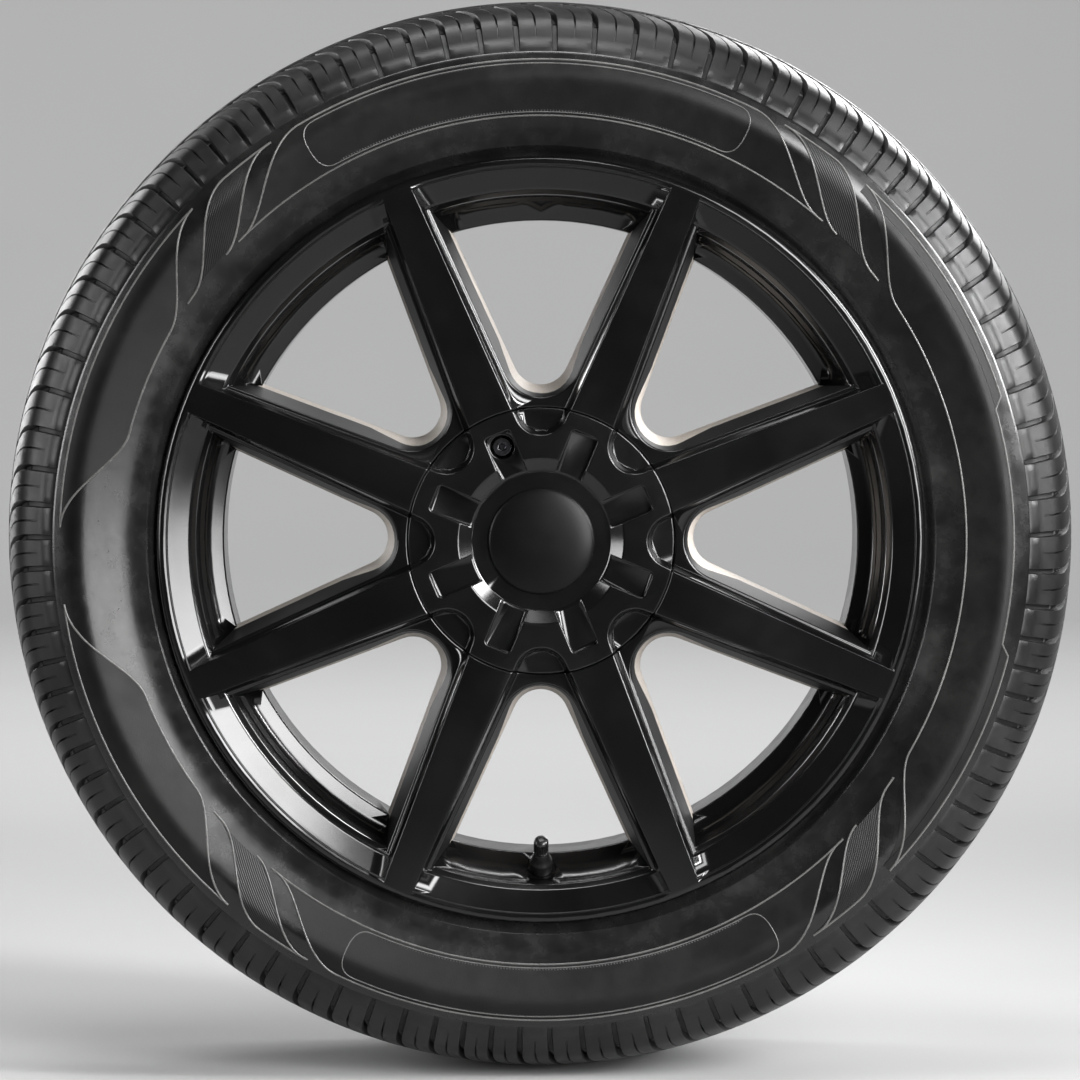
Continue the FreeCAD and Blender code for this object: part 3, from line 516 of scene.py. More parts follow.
def add_side(tyre, side, foot, foot_turns):
    """One side wall with its bead and liner, from the tread's foot. Gives the liner's last ring."""
    wall = [tyre.add_ring(ring_points(wall_turns, radius, side * place)) for place, radius in WALL_ROWS]
    for first, second in zip(wall, wall[1:]):
        tyre.join(first, second, SMOOTH)
    shift = int(np.argmin(np.mod(foot_turns, FULL_TURN)))
    foot = foot[shift:] + foot[:shift]
    foot_turns = np.mod(np.concatenate([foot_turns[shift:], foot_turns[:shift]]), FULL_TURN)
    tyre.stitch(foot, foot_turns, wall[0], wall_turns, SMOOTH)
    inner = []
    for place, radius in INNER_ROWS[:-1]:
        inner.append(tyre.add_ring(ring_points(inner_turns, radius, side * place)))
    tyre.stitch(wall[-1], wall_turns, inner[0], inner_turns, SMOOTH)
    for first, second in zip(inner, inner[1:]):
        tyre.join(first, second, SMOOTH)
    return inner[-1]


def build_tyre():
    tyre = Builder()
    outer_foot, inner_foot = add_tread(tyre)
    outer_liner = add_side(tyre, -1, *outer_foot)
    inner_liner = add_side(tyre, 1, *inner_foot)
    middle_place, middle_radius = INNER_ROWS[-1]
    middle = tyre.add_ring(ring_points(inner_turns, middle_radius, middle_place))
    tyre.join(outer_liner, middle, SMOOTH)
    tyre.join(middle, inner_liner, SMOOTH)
    materials = [smooth_rubber, tread_rubber, groove_rubber_painted_shade]
    return make_object("tyre_tread_and_walls", tyre.verts, tyre.faces, materials, tyre.index)


tyre_piece = build_tyre()
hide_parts("tyre")
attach(tyre_piece, "wheel")


# Moulded ornament on the outer side wall: panels, slanting bands and thin ribs.

PLATE, SLANT, RADIAL, RIB = 0, 1, 2, 3
# Radii of the lower line, of the upper line, and of the notch in the right panel's upper line.
LOW = 289.5
HIGH = 327.0
NOTCH = 321.0
# At this radius angles are turned into lengths along the wall.
WALL_MIDDLE = 305.0
PANEL_RISE = 0.35
FIELD_RISE = 0.5
RIB_RISE = 1.05
RIB_WIDTH = 1.5
THIN_RIB_RISE = 0.8
THIN_RIB_WIDTH = 1.0
# How deep panels and ribs are let into the wall.
SUNK = 0.5
# Half-round section of a rib: place across as a share of its width, height as a share of its rise.
RIB_SECTION = (
    (-0.5, -1.0), (-0.46, 0.3), (-0.25, 0.85), (0.0, 1.0), (0.25, 0.85), (0.46, 0.3), (0.5, -1.0))
CURVE_POINTS = 25
# Angles between two points of a line, and across a panel.
ARC_STEP = 0.75
HOOK_STEP = 0.4
TAIL_STEP = 0.3
PANEL_STEP = 2.0
FIELD_STEP = 1.0
# Each group of bands: lower and upper angle of its four S curves, read outwards from the plain panel.
BANDS = {
    "upper_right": ((33.4, 47.8), (39.4, 52.6), (46.2, 59.2), (49.8, 63.6)),
    "upper_left": ((150.4, 136.2), (144.4, 131.2), (137.6, 124.6), (134.2, 120.2)),
    "lower_left": ((215.6, 229.2), (221.2, 234.0), (227.8, 240.2), (231.4, 244.6)),
    "lower_right": ((330.4, 316.6), (324.6, 311.6), (318.0, 305.2), (314.4, 300.8))}
# How far a band's plate stays inside the two lines.
BAND_INSET = 1.2
# Short ends of a band's ribs along the two lines, and the gap between two ribs on the upper line.
BAND_HOOK = 1.6
BAND_TAIL = 0.6
BAND_GAP = 0.2
# The S curves at the left ends of the two plain panels on the left.
UPPER_LEFT_END = (165.2, 178.2)
LOWER_LEFT_END = (201.4, 187.4)
# How far the upper line of a plain panel stops short of its corners.
LINE_GAP = 0.8
# The notch: its ends on the upper line, the run of its slopes, and a seam between the plates beside it.
NOTCH_FROM = 346.2 - FULL_TURN
NOTCH_TO = 17.6
NOTCH_RUN = 1.3
NOTCH_SEAM = 0.3
# How far a long panel's outline runs on along the lower line.
LONG_HOOK = 1.0
# The fields of fine lines at the top and the bottom: their ends, and the insets of outline and plate.
TOP_FIELD = (63.4, 120.6)
BOTTOM_FIELD = (244.4, 300.8)
OUTLINE_LOW_INSET = 2.4
OUTLINE_HIGH_INSET = 2.6
FIELD_LOW_INSET = 3.0
FIELD_HIGH_INSET = 3.2
FIELD_END_INSET = 3.0
# Round ends of a field's outline: their reach, their points, and the power that makes them squarer.
PILL_REACH = 13.0
PILL_POINTS = 19
PILL_POWER = 0.75


def on_wall(turn, radius, rise):
    """A point that stands rise above the outer side wall."""
    place, slope = wall_place(radius)
    lift = rise / math.sqrt(1.0 + slope * slope)
    turn = math.radians(turn)
    outer = radius - slope * lift
    return (outer * math.cos(turn), -(place + lift), outer * math.sin(turn))


def s_curve(turns, low=LOW, high=HIGH):
    """A soft S from the lower line up to the upper line."""
    low_turn, high_turn = turns
    line = []
    for t in np.linspace(0, 1, CURVE_POINTS):
        eased = t * t * (3.0 - 2.0 * t)
        line.append((low_turn + (high_turn - low_turn) * t, low + (high - low) * eased))
    return line


def arc_line(first, last, radius, step=ARC_STEP):
    count = max(2, int(abs(last - first) / step) + 1)
    return [(turn, radius) for turn in np.linspace(first, last, count)]


def add_panel(piece, left, right, material, rise=PANEL_RISE, step=PANEL_STEP):
    """A plate between two curves with as many points each, from the lower line to the upper line."""
    widest = max(abs(b[0] - a[0]) for a, b in zip(left, right))
    count = max(3, int(widest / step) + 2)
    top, low = [], []
    for a, b in zip(left, right):
        spots = [(a[0] + (b[0] - a[0]) * s, a[1] + (b[1] - a[1]) * s) for s in np.linspace(0, 1, count)]
        top.append([on_wall(turn, radius, rise) for turn, radius in spots])
        low.append([on_wall(turn, radius, -SUNK) for turn, radius in spots])
    piece.plate(top, low, material)


def add_rib(piece, line, width=RIB_WIDTH, rise=RIB_RISE, closed=False):
    """A thin raised rib along a line on the side wall."""
    turns = np.array([turn for turn, _ in line])
    radii = np.array([radius for _, radius in line])
    flat = np.stack([np.radians(turns) * WALL_MIDDLE, radii], 1)
    if closed:
        run = np.roll(flat, -1, axis=0) - np.roll(flat, 1, axis=0)
    else:
        run = np.gradient(flat, axis=0)
    run /= np.linalg.norm(run, axis=1)[:, None]
    side = np.stack([-run[:, 1], run[:, 0]], 1)
    rings = []
    for k in range(len(line)):
        ring = []
        for offset, height in RIB_SECTION:
            height = -SUNK if height < 0.0 else height * rise
            turn = turns[k] + math.degrees(side[k, 0] * offset * width / WALL_MIDDLE)
            ring.append(on_wall(turn, radii[k] + side[k, 1] * offset * width, height))
        rings.append(piece.add_ring(ring))
    if closed:
        piece.loop(rings, RIB)
    else:
        piece.bar(rings, RIB)


def pill_end(centre, reach, low, high):
    """The round end of a pill, from its upper line to its lower line."""
    end = []
    for turn in np.linspace(90, -90, PILL_POINTS):
        x, y = math.cos(math.radians(turn)), math.sin(math.radians(turn))
        x, y = (math.copysign(abs(v) ** PILL_POWER, v) for v in (x, y))
        end.append((centre + reach * x, (low + high) / 2 + (high - low) / 2 * y))
    return end


def pill(first, last, low, high):
    """A closed outline with round ends."""
    reach = math.degrees(PILL_REACH / WALL_MIDDLE)
    line = arc_line(first + reach, last - reach, high)[:-1]
    line += pill_end(last - reach, reach, low, high)
    line += arc_line(last - reach, first + reach, low)[1:-1]
    line += pill_end(first + reach, -reach, low, high)[::-1]
    return line[:-1]


def add_bands(piece):
    """The four groups of slanting bands between the plain panels and the long ones."""
    low, high = LOW + BAND_INSET, HIGH - BAND_INSET
    for outer, left, right, _ in BANDS.values():
        way = 1 if outer[1] > outer[0] else -1
        add_panel(piece, s_curve(left, low, high), s_curve(right, low, high), SLANT)
        add_rib(piece, s_curve(left) + arc_line(left[1], right[1] - way * BAND_GAP, HIGH)[1:])
        hook = arc_line(left[0] - way * BAND_HOOK, left[0], LOW, HOOK_STEP)
        add_rib(piece, hook[:-1] + s_curve(left)[:1])
        tail = arc_line(right[1], right[1] + way * BAND_TAIL, HIGH, TAIL_STEP)
        add_rib(piece, s_curve(right) + tail[1:])


def add_left_panel(piece, first, second):
    """A plain panel on the left, above or below the bare middle."""
    add_panel(piece, s_curve(first), s_curve(second), PLATE)
    lower_line = arc_line(first[0], second[0], LOW)
    add_rib(piece, s_curve(first)[::-1] + lower_line[1:-1] + s_curve(second))
    add_rib(piece, arc_line(first[1] + LINE_GAP, second[1] - LINE_GAP, HIGH))


def add_right_panel(piece, first, last):
    """The long plain panel on the right, with a shallow notch in its upper line."""
    add_panel(piece, s_curve(first, LOW, NOTCH), s_curve(last, LOW, NOTCH), PLATE)
    for end, notch, slope in ((first[1], NOTCH_FROM, NOTCH_RUN), (last[1], NOTCH_TO, -NOTCH_RUN)):
        end_side = [(end, NOTCH + NOTCH_SEAM), (end, HIGH)]
        notch_side = [(notch + slope, NOTCH + NOTCH_SEAM), (notch, HIGH)]
        add_panel(piece, end_side, notch_side, PLATE)
    lower_line = arc_line(first[0], last[0], LOW)
    add_rib(piece, s_curve(first)[::-1] + lower_line[1:-1] + s_curve(last))
    upper_line = arc_line(first[1] + LINE_GAP, NOTCH_FROM, HIGH)
    upper_line += arc_line(NOTCH_FROM + NOTCH_RUN, NOTCH_TO - NOTCH_RUN, NOTCH)
    upper_line += arc_line(NOTCH_TO, last[1] - LINE_GAP, HIGH)
    add_rib(piece, upper_line)


def add_long_panel(piece, first, last, field):
    """A long panel at the top or the bottom, with a round-ended field of fine lines."""
    add_panel(piece, s_curve(first), s_curve(last), PLATE)
    outline = arc_line(first[0] - LONG_HOOK, first[0], LOW, HOOK_STEP)[:-1]
    outline += s_curve(first)
    outline += arc_line(first[1], last[1], HIGH)[1:-1]
    outline += s_curve(last)[::-1]
    outline += arc_line(last[0], last[0] + LONG_HOOK, LOW, HOOK_STEP)[1:]
    add_rib(piece, outline)
    add_rib(piece, arc_line(first[0], last[0], LOW))
    field_outline = pill(*field, LOW + OUTLINE_LOW_INSET, HIGH - OUTLINE_HIGH_INSET)
    add_rib(piece, field_outline, THIN_RIB_WIDTH, THIN_RIB_RISE, closed=True)
    low, high = LOW + FIELD_LOW_INSET, HIGH - FIELD_HIGH_INSET
    start, end = field[0] + FIELD_END_INSET, field[1] - FIELD_END_INSET
    start_side = [(start, low), (start, high)]
    end_side = [(end, low), (end, high)]
    add_panel(piece, start_side, end_side, RADIAL, FIELD_RISE, FIELD_STEP)


def build_ornament():
    piece = Builder()
    upper_right, upper_left = BANDS["upper_right"], BANDS["upper_left"]
    lower_left, lower_right = BANDS["lower_left"], BANDS["lower_right"]
    add_bands(piece)
    add_left_panel(piece, upper_left[0], UPPER_LEFT_END)
    add_left_panel(piece, LOWER_LEFT_END, lower_left[0])
    add_right_panel(piece, [turn - FULL_TURN for turn in lower_right[0]], upper_right[0])
    add_long_panel(piece, upper_right[3], upper_left[3], TOP_FIELD)
    add_long_panel(piece, lower_left[3], lower_right[3], BOTTOM_FIELD)
    materials = [matt_rubber, slant_rubber, radial_rubber, rib_rubber_painted_highlight]
    return make_object("tyre_wall_ornament", piece.verts, piece.faces, materials, piece.index, RIB_CREASE)


ornament_piece = build_ornament()
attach(ornament_piece, "wheel")


# Wheel, cover and screw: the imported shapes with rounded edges.

# Where the valve goes through the rim, and its axis, which leans outwards and towards the axle.
VALVE_AT = (0.0, -66.1945, -230.0555)
VALVE_AXIS = (0.0, -1.0, 1.0)
# Edges nearer to the valve than this stay as packed.
VALVE_CLEAR = 17.0
# Points nearer to each other than this, in metres, are one.
WELD = 2e-6
# Faces that meet at less than this angle are made one.
FLAT_ANGLE = 0.4
# Outward edges sharper than this angle are rounded.
ROUNDED_ANGLE = 28.0
ROUNDED_SEGMENTS = 3
ROUNDED_CREASE = 33.0
# Corners of recesses are rounded if their walls meet at more than this angle, in radians.
CORNER_ANGLE = 1.0
CORNER_SEGMENTS = 4
# An edge runs along the axle if this share of its length does.
ALONG_SHARE = 0.98


def along_axle(edge):
    run = edge.verts[1].co - edge.verts[0].co
    return run.length > 0.0 and abs(run.y) > ALONG_SHARE * run.length


def recess_corners(work, least_reach):
    """Inward edges along the axle, from a radius outwards."""
    found = []
    for edge in work.edges:
        if not edge.is_manifold or edge.is_convex or not along_axle(edge):
            continue
        place = edge.verts[0].co
        if edge.calc_face_angle(0.0) > CORNER_ANGLE and math.hypot(place.x, place.z) > least_reach * MM:
            found.append(edge)
    return found


def outward_edges(work):
    """Sharp outward edges, apart from those beside the valve."""
    valve = Vector(VALVE_AT) * MM
    found = []
    for edge in work.edges:
        if not edge.is_manifold or not edge.is_convex:
            continue
        sharp = edge.calc_face_angle(0.0) > math.radians(ROUNDED_ANGLE)
        if sharp and (edge.verts[0].co - valve).length > VALVE_CLEAR * MM:
            found.append(edge)
    return found


def round_off(work, edges, width, segments):
    bmesh.ops.bevel(
        work, geom=edges, offset=width * MM, offset_type="OFFSET", segments=segments, profile=0.5,
        affect="EDGES", clamp_overlap=False)


def rounded_copy(node, name, materials, width, corner=None, adjust=None):
    """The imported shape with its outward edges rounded.

    corner is (radius, least reach) for the corners of recesses. adjust is a function that moves points of
    the bare shape before anything is rounded.
    """
    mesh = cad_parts[node].data.copy()
    mesh.name = name
    mesh.materials.clear()
    for material in materials:
        mesh.materials.append(material)
    work = bmesh.new()
    work.from_mesh(mesh)
    for face in work.faces:
        face.material_index = 0
    bmesh.ops.remove_doubles(work, verts=work.verts, dist=WELD)
    bmesh.ops.dissolve_limit(
        work, angle_limit=math.radians(FLAT_ANGLE), verts=work.verts, edges=work.edges,
        use_dissolve_boundaries=False)
    bmesh.ops.recalc_face_normals(work, faces=work.faces)
    if adjust:
        adjust(work)
        work.normal_update()
    if corner:
        corner_radius, least_reach = corner
        round_off(work, recess_corners(work, least_reach), corner_radius, CORNER_SEGMENTS)
    round_off(work, outward_edges(work), width, ROUNDED_SEGMENTS)
    bmesh.ops.remove_doubles(work, verts=work.verts, dist=WELD)
    many_sided = [face for face in work.faces if len(face.verts) > 4]
    bmesh.ops.triangulate(work, faces=many_sided, ngon_method="EAR_CLIP")
    work.to_mesh(mesh)
    work.free()
    mesh.shade_smooth()
    mesh.set_sharp_from_angle(angle=math.radians(ROUNDED_CREASE))
    obj = bpy.data.objects.new(name, mesh)
    scene.collection.objects.link(obj)
    weigh = obj.modifiers.new("even_normals", "WEIGHTED_NORMAL")
    weigh.keep_sharp = True
    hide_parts(node)
    return obj


# The second band of the barrel: radius and place of its foot, its width by radius, and its new slope.
BAND_RADIUS = 218.5
BAND_FOOT = -58.53
BAND_RUN = 16.4
BAND_SLOPE = 0.42
# A point is on the band from this far above its foot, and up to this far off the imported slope.
BAND_LEAST = 0.3
BAND_SLACK = 0.4
# Half of the sector beside the valve, where the band stays as packed.
VALVE_SECTOR = 22.5
# A face that looks round the axle by more than this share is a spoke's side.
SIDE_SHARE = 0.5


def lay_band_back(work):
    """Lays the barrel's second band back to the slope of the first, except beside the valve."""
    for vert in work.verts:
        x, y, z = (value / MM for value in vert.co)
        reach = math.hypot(x, z)
        rise = reach - BAND_RADIUS
        on_band = BAND_LEAST < rise < BAND_RUN and abs(y - BAND_FOOT + rise) < BAND_SLACK
        if not on_band or abs(math.degrees(math.atan2(x, -z))) < VALVE_SECTOR:
            continue
        back = BAND_FOOT - BAND_SLOPE * rise - y
        around = Vector((-z, 0.0, x)) / reach
        # A corner beside a spoke slides along the spoke's leaning side, so that the side stays flat.
        sides = [face.normal for face in vert.link_faces if abs(face.normal.dot(around)) > SIDE_SHARE]
        slide = -back * sides[0].y / sides[0].dot(around) if sides else 0.0
        vert.co += (Vector((0.0, back, 0.0)) + slide * around) * MM


SPOKES = 8
SPOKE_SPACING = FULL_TURN / SPOKES
spoke_turns = np.radians(SPOKE_SPACING * (0.5 + np.arange(SPOKES)))
# Window walls lie between these radii and these places along the axle, and off the spokes' middle lines.
WINDOW_REACH = (97.0, 217.5)
WINDOW_DEPTH = (-99.0, -49.0)
WINDOW_OFF_SPOKE = 9.6
# A face that looks along the axle by less than this share is a wall.
WALL_SHARE = 0.5
WINDOW_WALL = 1


def off_spoke(x, z):
    """Distance from the middle line of the nearest spoke."""
    turns = math.atan2(z, x) - spoke_turns
    return math.hypot(x, z) * np.min(np.abs(np.sin(turns[np.cos(turns) > 0.0])))


# Gives the window walls the material with the painted highlight on their rear edges.
def paint_windows(mesh):
    for face in mesh.polygons:
        x, y, z = (value / MM for value in face.center)
        in_reach = WINDOW_REACH[0] < math.hypot(x, z) < WINDOW_REACH[1]
        in_depth = WINDOW_DEPTH[0] < y < WINDOW_DEPTH[1]
        is_wall = abs(face.normal.y) < WALL_SHARE
        if in_reach and in_depth and is_wall and off_spoke(x, z) > WINDOW_OFF_SPOKE:
            face.material_index = WINDOW_WALL


wheel_piece = rounded_copy(
    "alloy_wheel", "wheel_casting", [wheel_paint, wall_paint_and_highlight], 1.3, adjust=lay_band_back)
paint_windows(wheel_piece.data)
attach(wheel_piece, "wheel")

# A fine bead along the lip between the spokes: half-round, on the lip's sloping edge.
BEAD_RADIUS = 255.0
BEAD_PLACE = -106.37
BEAD_FALL = 0.44
BEAD_WIDTH = 1.6
BEAD_RISE = 0.7
BEAD_GAP = 2.1
BEAD_POINTS = 49


def build_lip_beads():
    beads = Builder()
    for k in range(SPOKES):
        first = SPOKE_SPACING * (k + 0.5) + BEAD_GAP
        rings = []
        for turn in np.linspace(first, first + SPOKE_SPACING - 2 * BEAD_GAP, BEAD_POINTS):
            ring = []
            for across, height in RIB_SECTION:
                offset = across * BEAD_WIDTH
                place = BEAD_PLACE - BEAD_FALL * offset - BEAD_RISE * height
                ring += ring_points([turn], BEAD_RADIUS + offset, place)
            rings.append(beads.add_ring(ring))
        beads.bar(rings, 0)
    return make_object("rim_lip_beads", beads.verts, beads.faces, [bead_paint], beads.index, RIB_CREASE)


bead_piece = build_lip_beads()
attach(bead_piece, "wheel")

# The sloping wall of the cover's dish: its radii, its tilt, and how far a face's normal may be off it.
DISH_INNER = 47.0
DISH_OUTER = 56.4
DISH_TILT = math.radians(38.0)
DISH_SLACK = 0.03


def smooth_dish(obj):
    """Gives the dish's sloping wall the normals of a true cone, because its triangles are uneven."""
    mesh = bpy.data.meshes.new_from_object(obj.evaluated_get(bpy.context.evaluated_depsgraph_get()))
    normals = [Vector(corner.vector) for corner in mesh.corner_normals]
    inward, forward = math.sin(DISH_TILT), math.cos(DISH_TILT)
    for face in mesh.polygons:
        reach = math.hypot(face.center.x, face.center.z) / MM
        if not DISH_INNER < reach < DISH_OUTER or abs(face.normal.y + forward) > DISH_SLACK:
            continue
        for corner in face.loop_indices:
            place = mesh.vertices[mesh.loops[corner].vertex_index].co
            turn = math.atan2(place.z, place.x)
            normals[corner] = Vector((-inward * math.cos(turn), -forward, -inward * math.sin(turn)))
    mesh.normals_split_custom_set(normals)
    obj.modifiers.clear()
    obj.data = mesh


cover_piece = rounded_copy("hub_cover", "hub_cover_plate", [cover_plastic], 1.0, corner=(2.6, 70.0))
smooth_dish(cover_piece)
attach(cover_piece, "wheel")

screw_piece = rounded_copy("cover_screw", "cover_screw_head", [screw_metal], 0.4)
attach(screw_piece, "wheel")


# Turned pieces: a profile is (place along the axis, radius).

TURNED_CREASE = 40.0


def turned(name, profile, origin, axis, material, count, crease=TURNED_CREASE, shape=None, hollow=True):
    """Revolves a profile about an axis. A piece that isn't hollow is closed at both ends."""
    axis = Vector(axis).normalized()
    across = Vector((1.0, 0.0, 0.0))
    up = axis.cross(across).normalized()
    piece = Builder()
    rings = []
    for along, radius in profile:
        points = []
        for k in range(count):
            turn = 2 * math.pi * k / count
            shaped = shape(along, radius, turn) if shape else radius
            outward = across * math.cos(turn) + up * math.sin(turn)
            points.append(tuple(Vector(origin) + axis * along + outward * shaped))
        rings.append(piece.add_ring(points))
    if hollow:
        piece.loop(rings, 0)
    else:
        piece.bar(rings, 0)
    return make_object(name, piece.verts, piece.faces, [material], None, crease)


# The cap is set on the axle, looking outwards along -Y.
CAP_PROFILE = [
    (106.6, 0.4), (106.55, 6.0), (106.3, 12.0), (105.9, 18.0), (105.3, 24.0), (104.6, 28.5), (103.8, 32.0),
    (103.1, 34.2), (102.5, 35.4), (101.9, 35.95), (101.3, 36.15), (100.7, 36.2), (100.45, 35.9),
    (100.45, 33.7), (87.6, 33.7), (87.25, 33.3), (87.25, 31.5), (87.6, 31.1), (100.0, 31.0), (101.0, 24.0),
    (101.4, 12.0), (101.5, 0.4)]
cap_piece = turned("centre_cap_dome", CAP_PROFILE, (0, 0, 0), (0, -1, 0), cap_plastic, 128, hollow=False)
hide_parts("centre_cap")
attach(cap_piece, "wheel")

BODY_PROFILE = [
    (-9.25, 2.4), (-9.25, 8.6), (-8.9, 9.2), (-8.2, 9.4), (-3.0, 9.4), (-2.4, 9.1), (-2.25, 8.6),
    (-2.2, 5.45), (2.2, 5.45), (2.3, 7.2), (2.7, 7.7), (3.4, 7.8), (10.6, 7.8), (11.6, 7.7), (12.3, 7.3),
    (13.6, 6.6), (15.4, 6.05), (18.0, 5.6), (20.4, 5.25), (20.9, 5.05), (21.0, 4.7), (21.0, 4.0),
    (14.0, 4.0), (13.9, 2.4)]
body_piece = turned("valve_rubber_body", BODY_PROFILE, VALVE_AT, VALVE_AXIS, valve_rubber, 64)
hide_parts("valve_body")
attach(body_piece, "wheel")

# The stem above the rubber, in short steps, and its thread: where it runs, its pitch and half its depth.
STEM_RADIUS = 3.9
STEM_START = 21.0
STEM_STEP = 0.2
STEM_STEPS = 54
THREAD_FROM = 21.6
THREAD_TO = 31.6
THREAD_LEAST_RADIUS = 3.8
THREAD_PITCH = 0.794
THREAD_HALF = 0.16
STEM_PROFILE = [(14.4, 2.7), (14.4, 3.85)]
STEM_PROFILE += [(STEM_START + STEM_STEP * k, STEM_RADIUS) for k in range(STEM_STEPS)]
STEM_PROFILE += [(31.9, 3.6), (31.95, 3.2), (31.9, 2.7)]


def thread(along, radius, turn):
    """Cuts a round helical thread into the stem above the rubber."""
    if radius < THREAD_LEAST_RADIUS or not THREAD_FROM <= along <= THREAD_TO:
        return radius
    phase = 2 * math.pi * (along / THREAD_PITCH - turn / (2 * math.pi))
    return radius - THREAD_HALF + THREAD_HALF * math.cos(phase)


stem_piece = turned(
    "valve_stem_thread", STEM_PROFILE, VALVE_AT, VALVE_AXIS, brass, 40, crease=60.0, shape=thread)
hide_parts("valve_stem")
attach(stem_piece, "wheel")

# Grip ribs round the valve's cap: where they run, how many there are, and half their depth.
GRIP_FROM = 22.6
GRIP_TO = 31.5
GRIP_LEAST_RADIUS = 4.9
GRIP_RIBS = 20
GRIP_HALF = 0.22
KNOB_PROFILE = [
    (21.6, 4.35), (21.5, 4.6), (21.6, 4.95), (22.0, 5.1), (22.5, 5.1), (22.7, 5.1), (31.4, 5.1),
    (31.7, 5.1), (32.3, 5.0), (33.2, 4.5), (33.9, 3.7), (34.25, 2.6), (34.4, 1.2), (34.4, 0.2),
    (33.15, 0.2), (33.15, 4.1), (32.9, 4.2), (21.9, 4.2)]


def grip(along, radius, turn):
    """Cuts grip ribs into the side of the valve's cap."""
    if radius < GRIP_LEAST_RADIUS or not GRIP_FROM <= along <= GRIP_TO:
        return radius
    return radius - GRIP_HALF + GRIP_HALF * math.cos(turn * GRIP_RIBS)


knob_piece = turned(
    "valve_cap_ribbed", KNOB_PROFILE, VALVE_AT, VALVE_AXIS, knob_plastic, 120, crease=45.0, shape=grip,
    hollow=False)
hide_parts("valve_cap")
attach(knob_piece, "cap")

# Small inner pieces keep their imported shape.
for node, material in (("valve_core", brass), ("valve_pin", brass), ("valve_cap_seal", valve_rubber)):
    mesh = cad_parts[node].data
    mesh.materials.clear()
    mesh.materials.append(material)


# Stage, in metres: a pale floor that curves up all round, out of the lamps' way.

FLOOR = cad_box[0][2]
BOWL = 6.5
RISE = 2.2
FLOOR_MIDDLE = 2.0
FLOOR_COLUMNS = 96
FLOOR_BENDS = 14
FIRST_BEND = 0.1
FLOOR_CREASE = 60.0
FLOOR_DARK = (0.42, 0.42, 0.423)
FLOOR_PALE = (0.44, 0.44, 0.44)


def floor_material():
    material, tree, shader = start_material("floor_pale")
    cloud = noise(tree, place_of(tree), FLOOR_SCALE)
    tree.links.new(mix_colour(tree, cloud, FLOOR_DARK, FLOOR_PALE), shader.inputs["Base Color"])
    shader.inputs["Roughness"].default_value = 0.85
    shader.inputs["Specular IOR Level"].default_value = 0.2
    return material


def build_floor():
    profile = [(FLOOR_MIDDLE, 0.0), (BOWL - RISE, 0.0)]
    for bend in np.linspace(FIRST_BEND, math.pi / 2, FLOOR_BENDS):
        profile.append((BOWL - RISE + RISE * math.sin(bend), RISE - RISE * math.cos(bend)))
    floor = Builder()
    centre = floor.add_ring([(0.0, 0.0, FLOOR)])[0]
    turns = np.arange(FLOOR_COLUMNS) * 2 * np.pi / FLOOR_COLUMNS
    rings = []
    for radius, height in profile:
        points = [(radius * math.cos(turn), radius * math.sin(turn), FLOOR + height) for turn in turns]
        rings.append(floor.add_ring(points))
    for k in range(FLOOR_COLUMNS):
        floor.face((centre, rings[0][k], rings[0][(k + 1) % FLOOR_COLUMNS]), 0)
    for first, second in zip(rings, rings[1:]):
        floor.join(first, second, 0)
    return make_object("floor", floor.verts, floor.faces, [floor_material()], None, FLOOR_CREASE, 1.0)


build_floor()

world = bpy.data.worlds.new("studio")
world.use_nodes = True
background = world.node_tree.nodes["Background"]
background.inputs["Color"].default_value = (0.80, 0.81, 0.83, 1.0)
background.inputs["Strength"].default_value = 0.05
scene.world = world

# What the lamps look at.
AXLE = (0.0, 0.0, 0.0)
ABOVE_AXLE = (0.0, 0.0, 0.1)
BACK_WALL = (0.0, 4.6, 0.6)


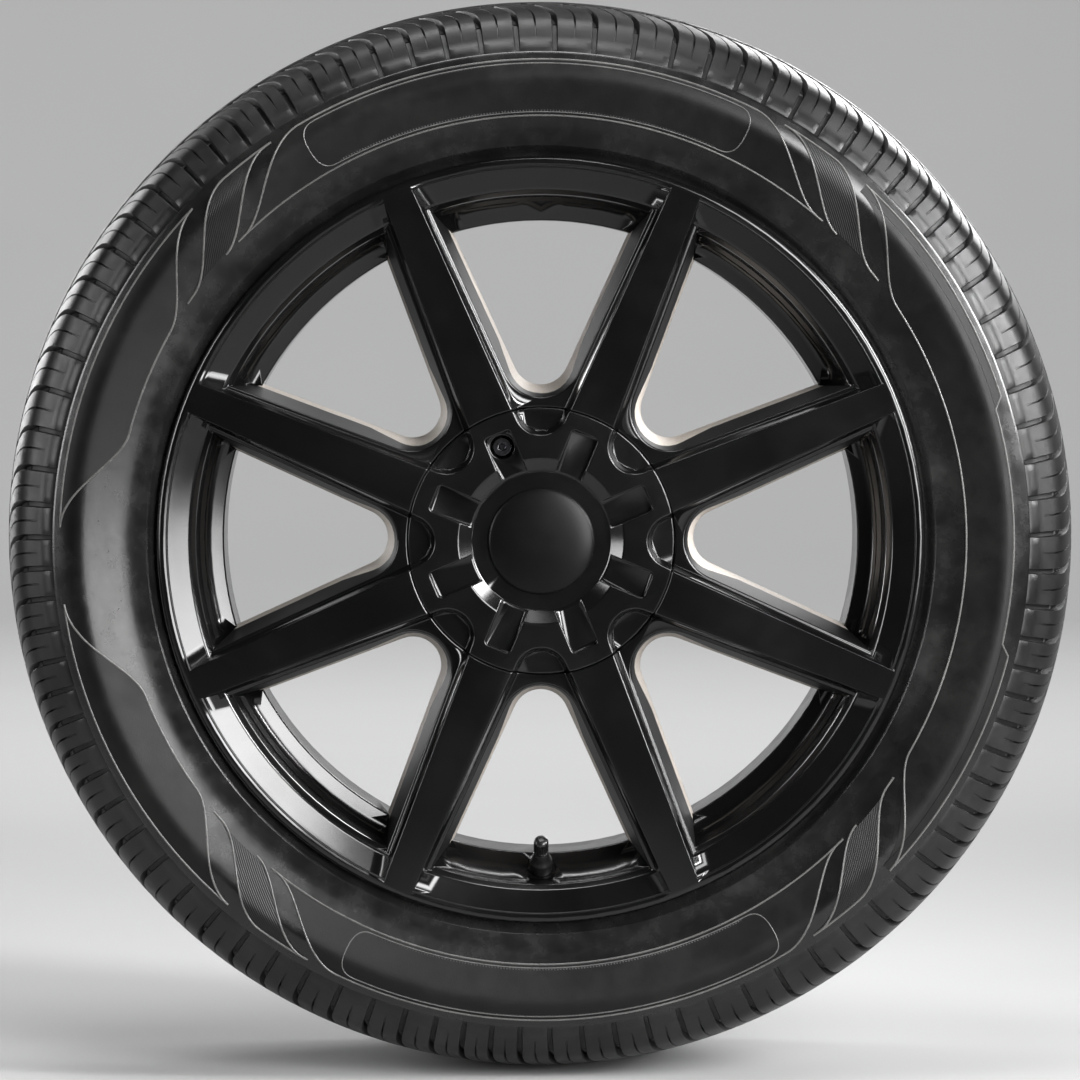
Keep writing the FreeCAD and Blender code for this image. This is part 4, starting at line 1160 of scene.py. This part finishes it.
def add_lamp(name, place, target, size, watts, beam=180.0):
    """A soft box. A beam under 180 degrees stands for a grid that keeps the light off the floor."""
    data = bpy.data.lights.new(name, "AREA")
    data.shape = "RECTANGLE"
    data.size, data.size_y = size
    data.energy = watts
    data.spread = math.radians(beam)
    lamp = bpy.data.objects.new(name, data)
    lamp.location = place
    lamp.rotation_euler = (Vector(target) - Vector(place)).to_track_quat("-Z", "Y").to_euler()
    scene.collection.objects.link(lamp)


add_lamp("key_right", (1.05, -1.66, 0.55), AXLE, (0.8, 1.6), 17.0, beam=80.0)
add_lamp("side_right", (1.9, -0.75, 0.9), AXLE, (0.3, 1.15), 9.0, beam=60.0)
add_lamp("fill_left", (-1.9, -0.7, 0.5), AXLE, (0.3, 1.3), 4.0, beam=80.0)
add_lamp("top_soft", (-0.1, -0.25, 1.9), AXLE, (1.2, 0.5), 24.0)
add_lamp("rear_soft", (0.9, 1.9, 1.0), ABOVE_AXLE, (1.0, 1.0), 4.5, beam=60.0)
add_lamp("rear_left", (-1.3, 1.7, 0.5), ABOVE_AXLE, (0.4, 1.2), 1.6, beam=50.0)
add_lamp("backdrop", (0.0, 1.6, 2.8), BACK_WALL, (4.0, 1.2), 240.0)

# Camera: almost square on, a little above the axle, as the photograph was taken. Its place is in metres.
CAMERA_AWAY = 3.6
CAMERA_TURN = math.radians(-0.5)
CAMERA_UP = math.radians(3.2)
CAMERA_AIM = Vector((0.0, 0.0, -0.005))
camera_data = bpy.data.cameras.new("photo_camera")
camera_data.lens = 171.0
camera_data.sensor_width = 36.0
camera = bpy.data.objects.new("photo_camera", camera_data)
level_away = CAMERA_AWAY * math.cos(CAMERA_UP)
camera.location = (
    level_away * math.sin(CAMERA_TURN),
    -level_away * math.cos(CAMERA_TURN),
    CAMERA_AWAY * math.sin(CAMERA_UP))
camera.rotation_euler = (CAMERA_AIM - Vector(camera.location)).to_track_quat("-Z", "Y").to_euler()
scene.collection.objects.link(camera)
scene.camera = camera
scene.view_settings.view_transform = "Standard"
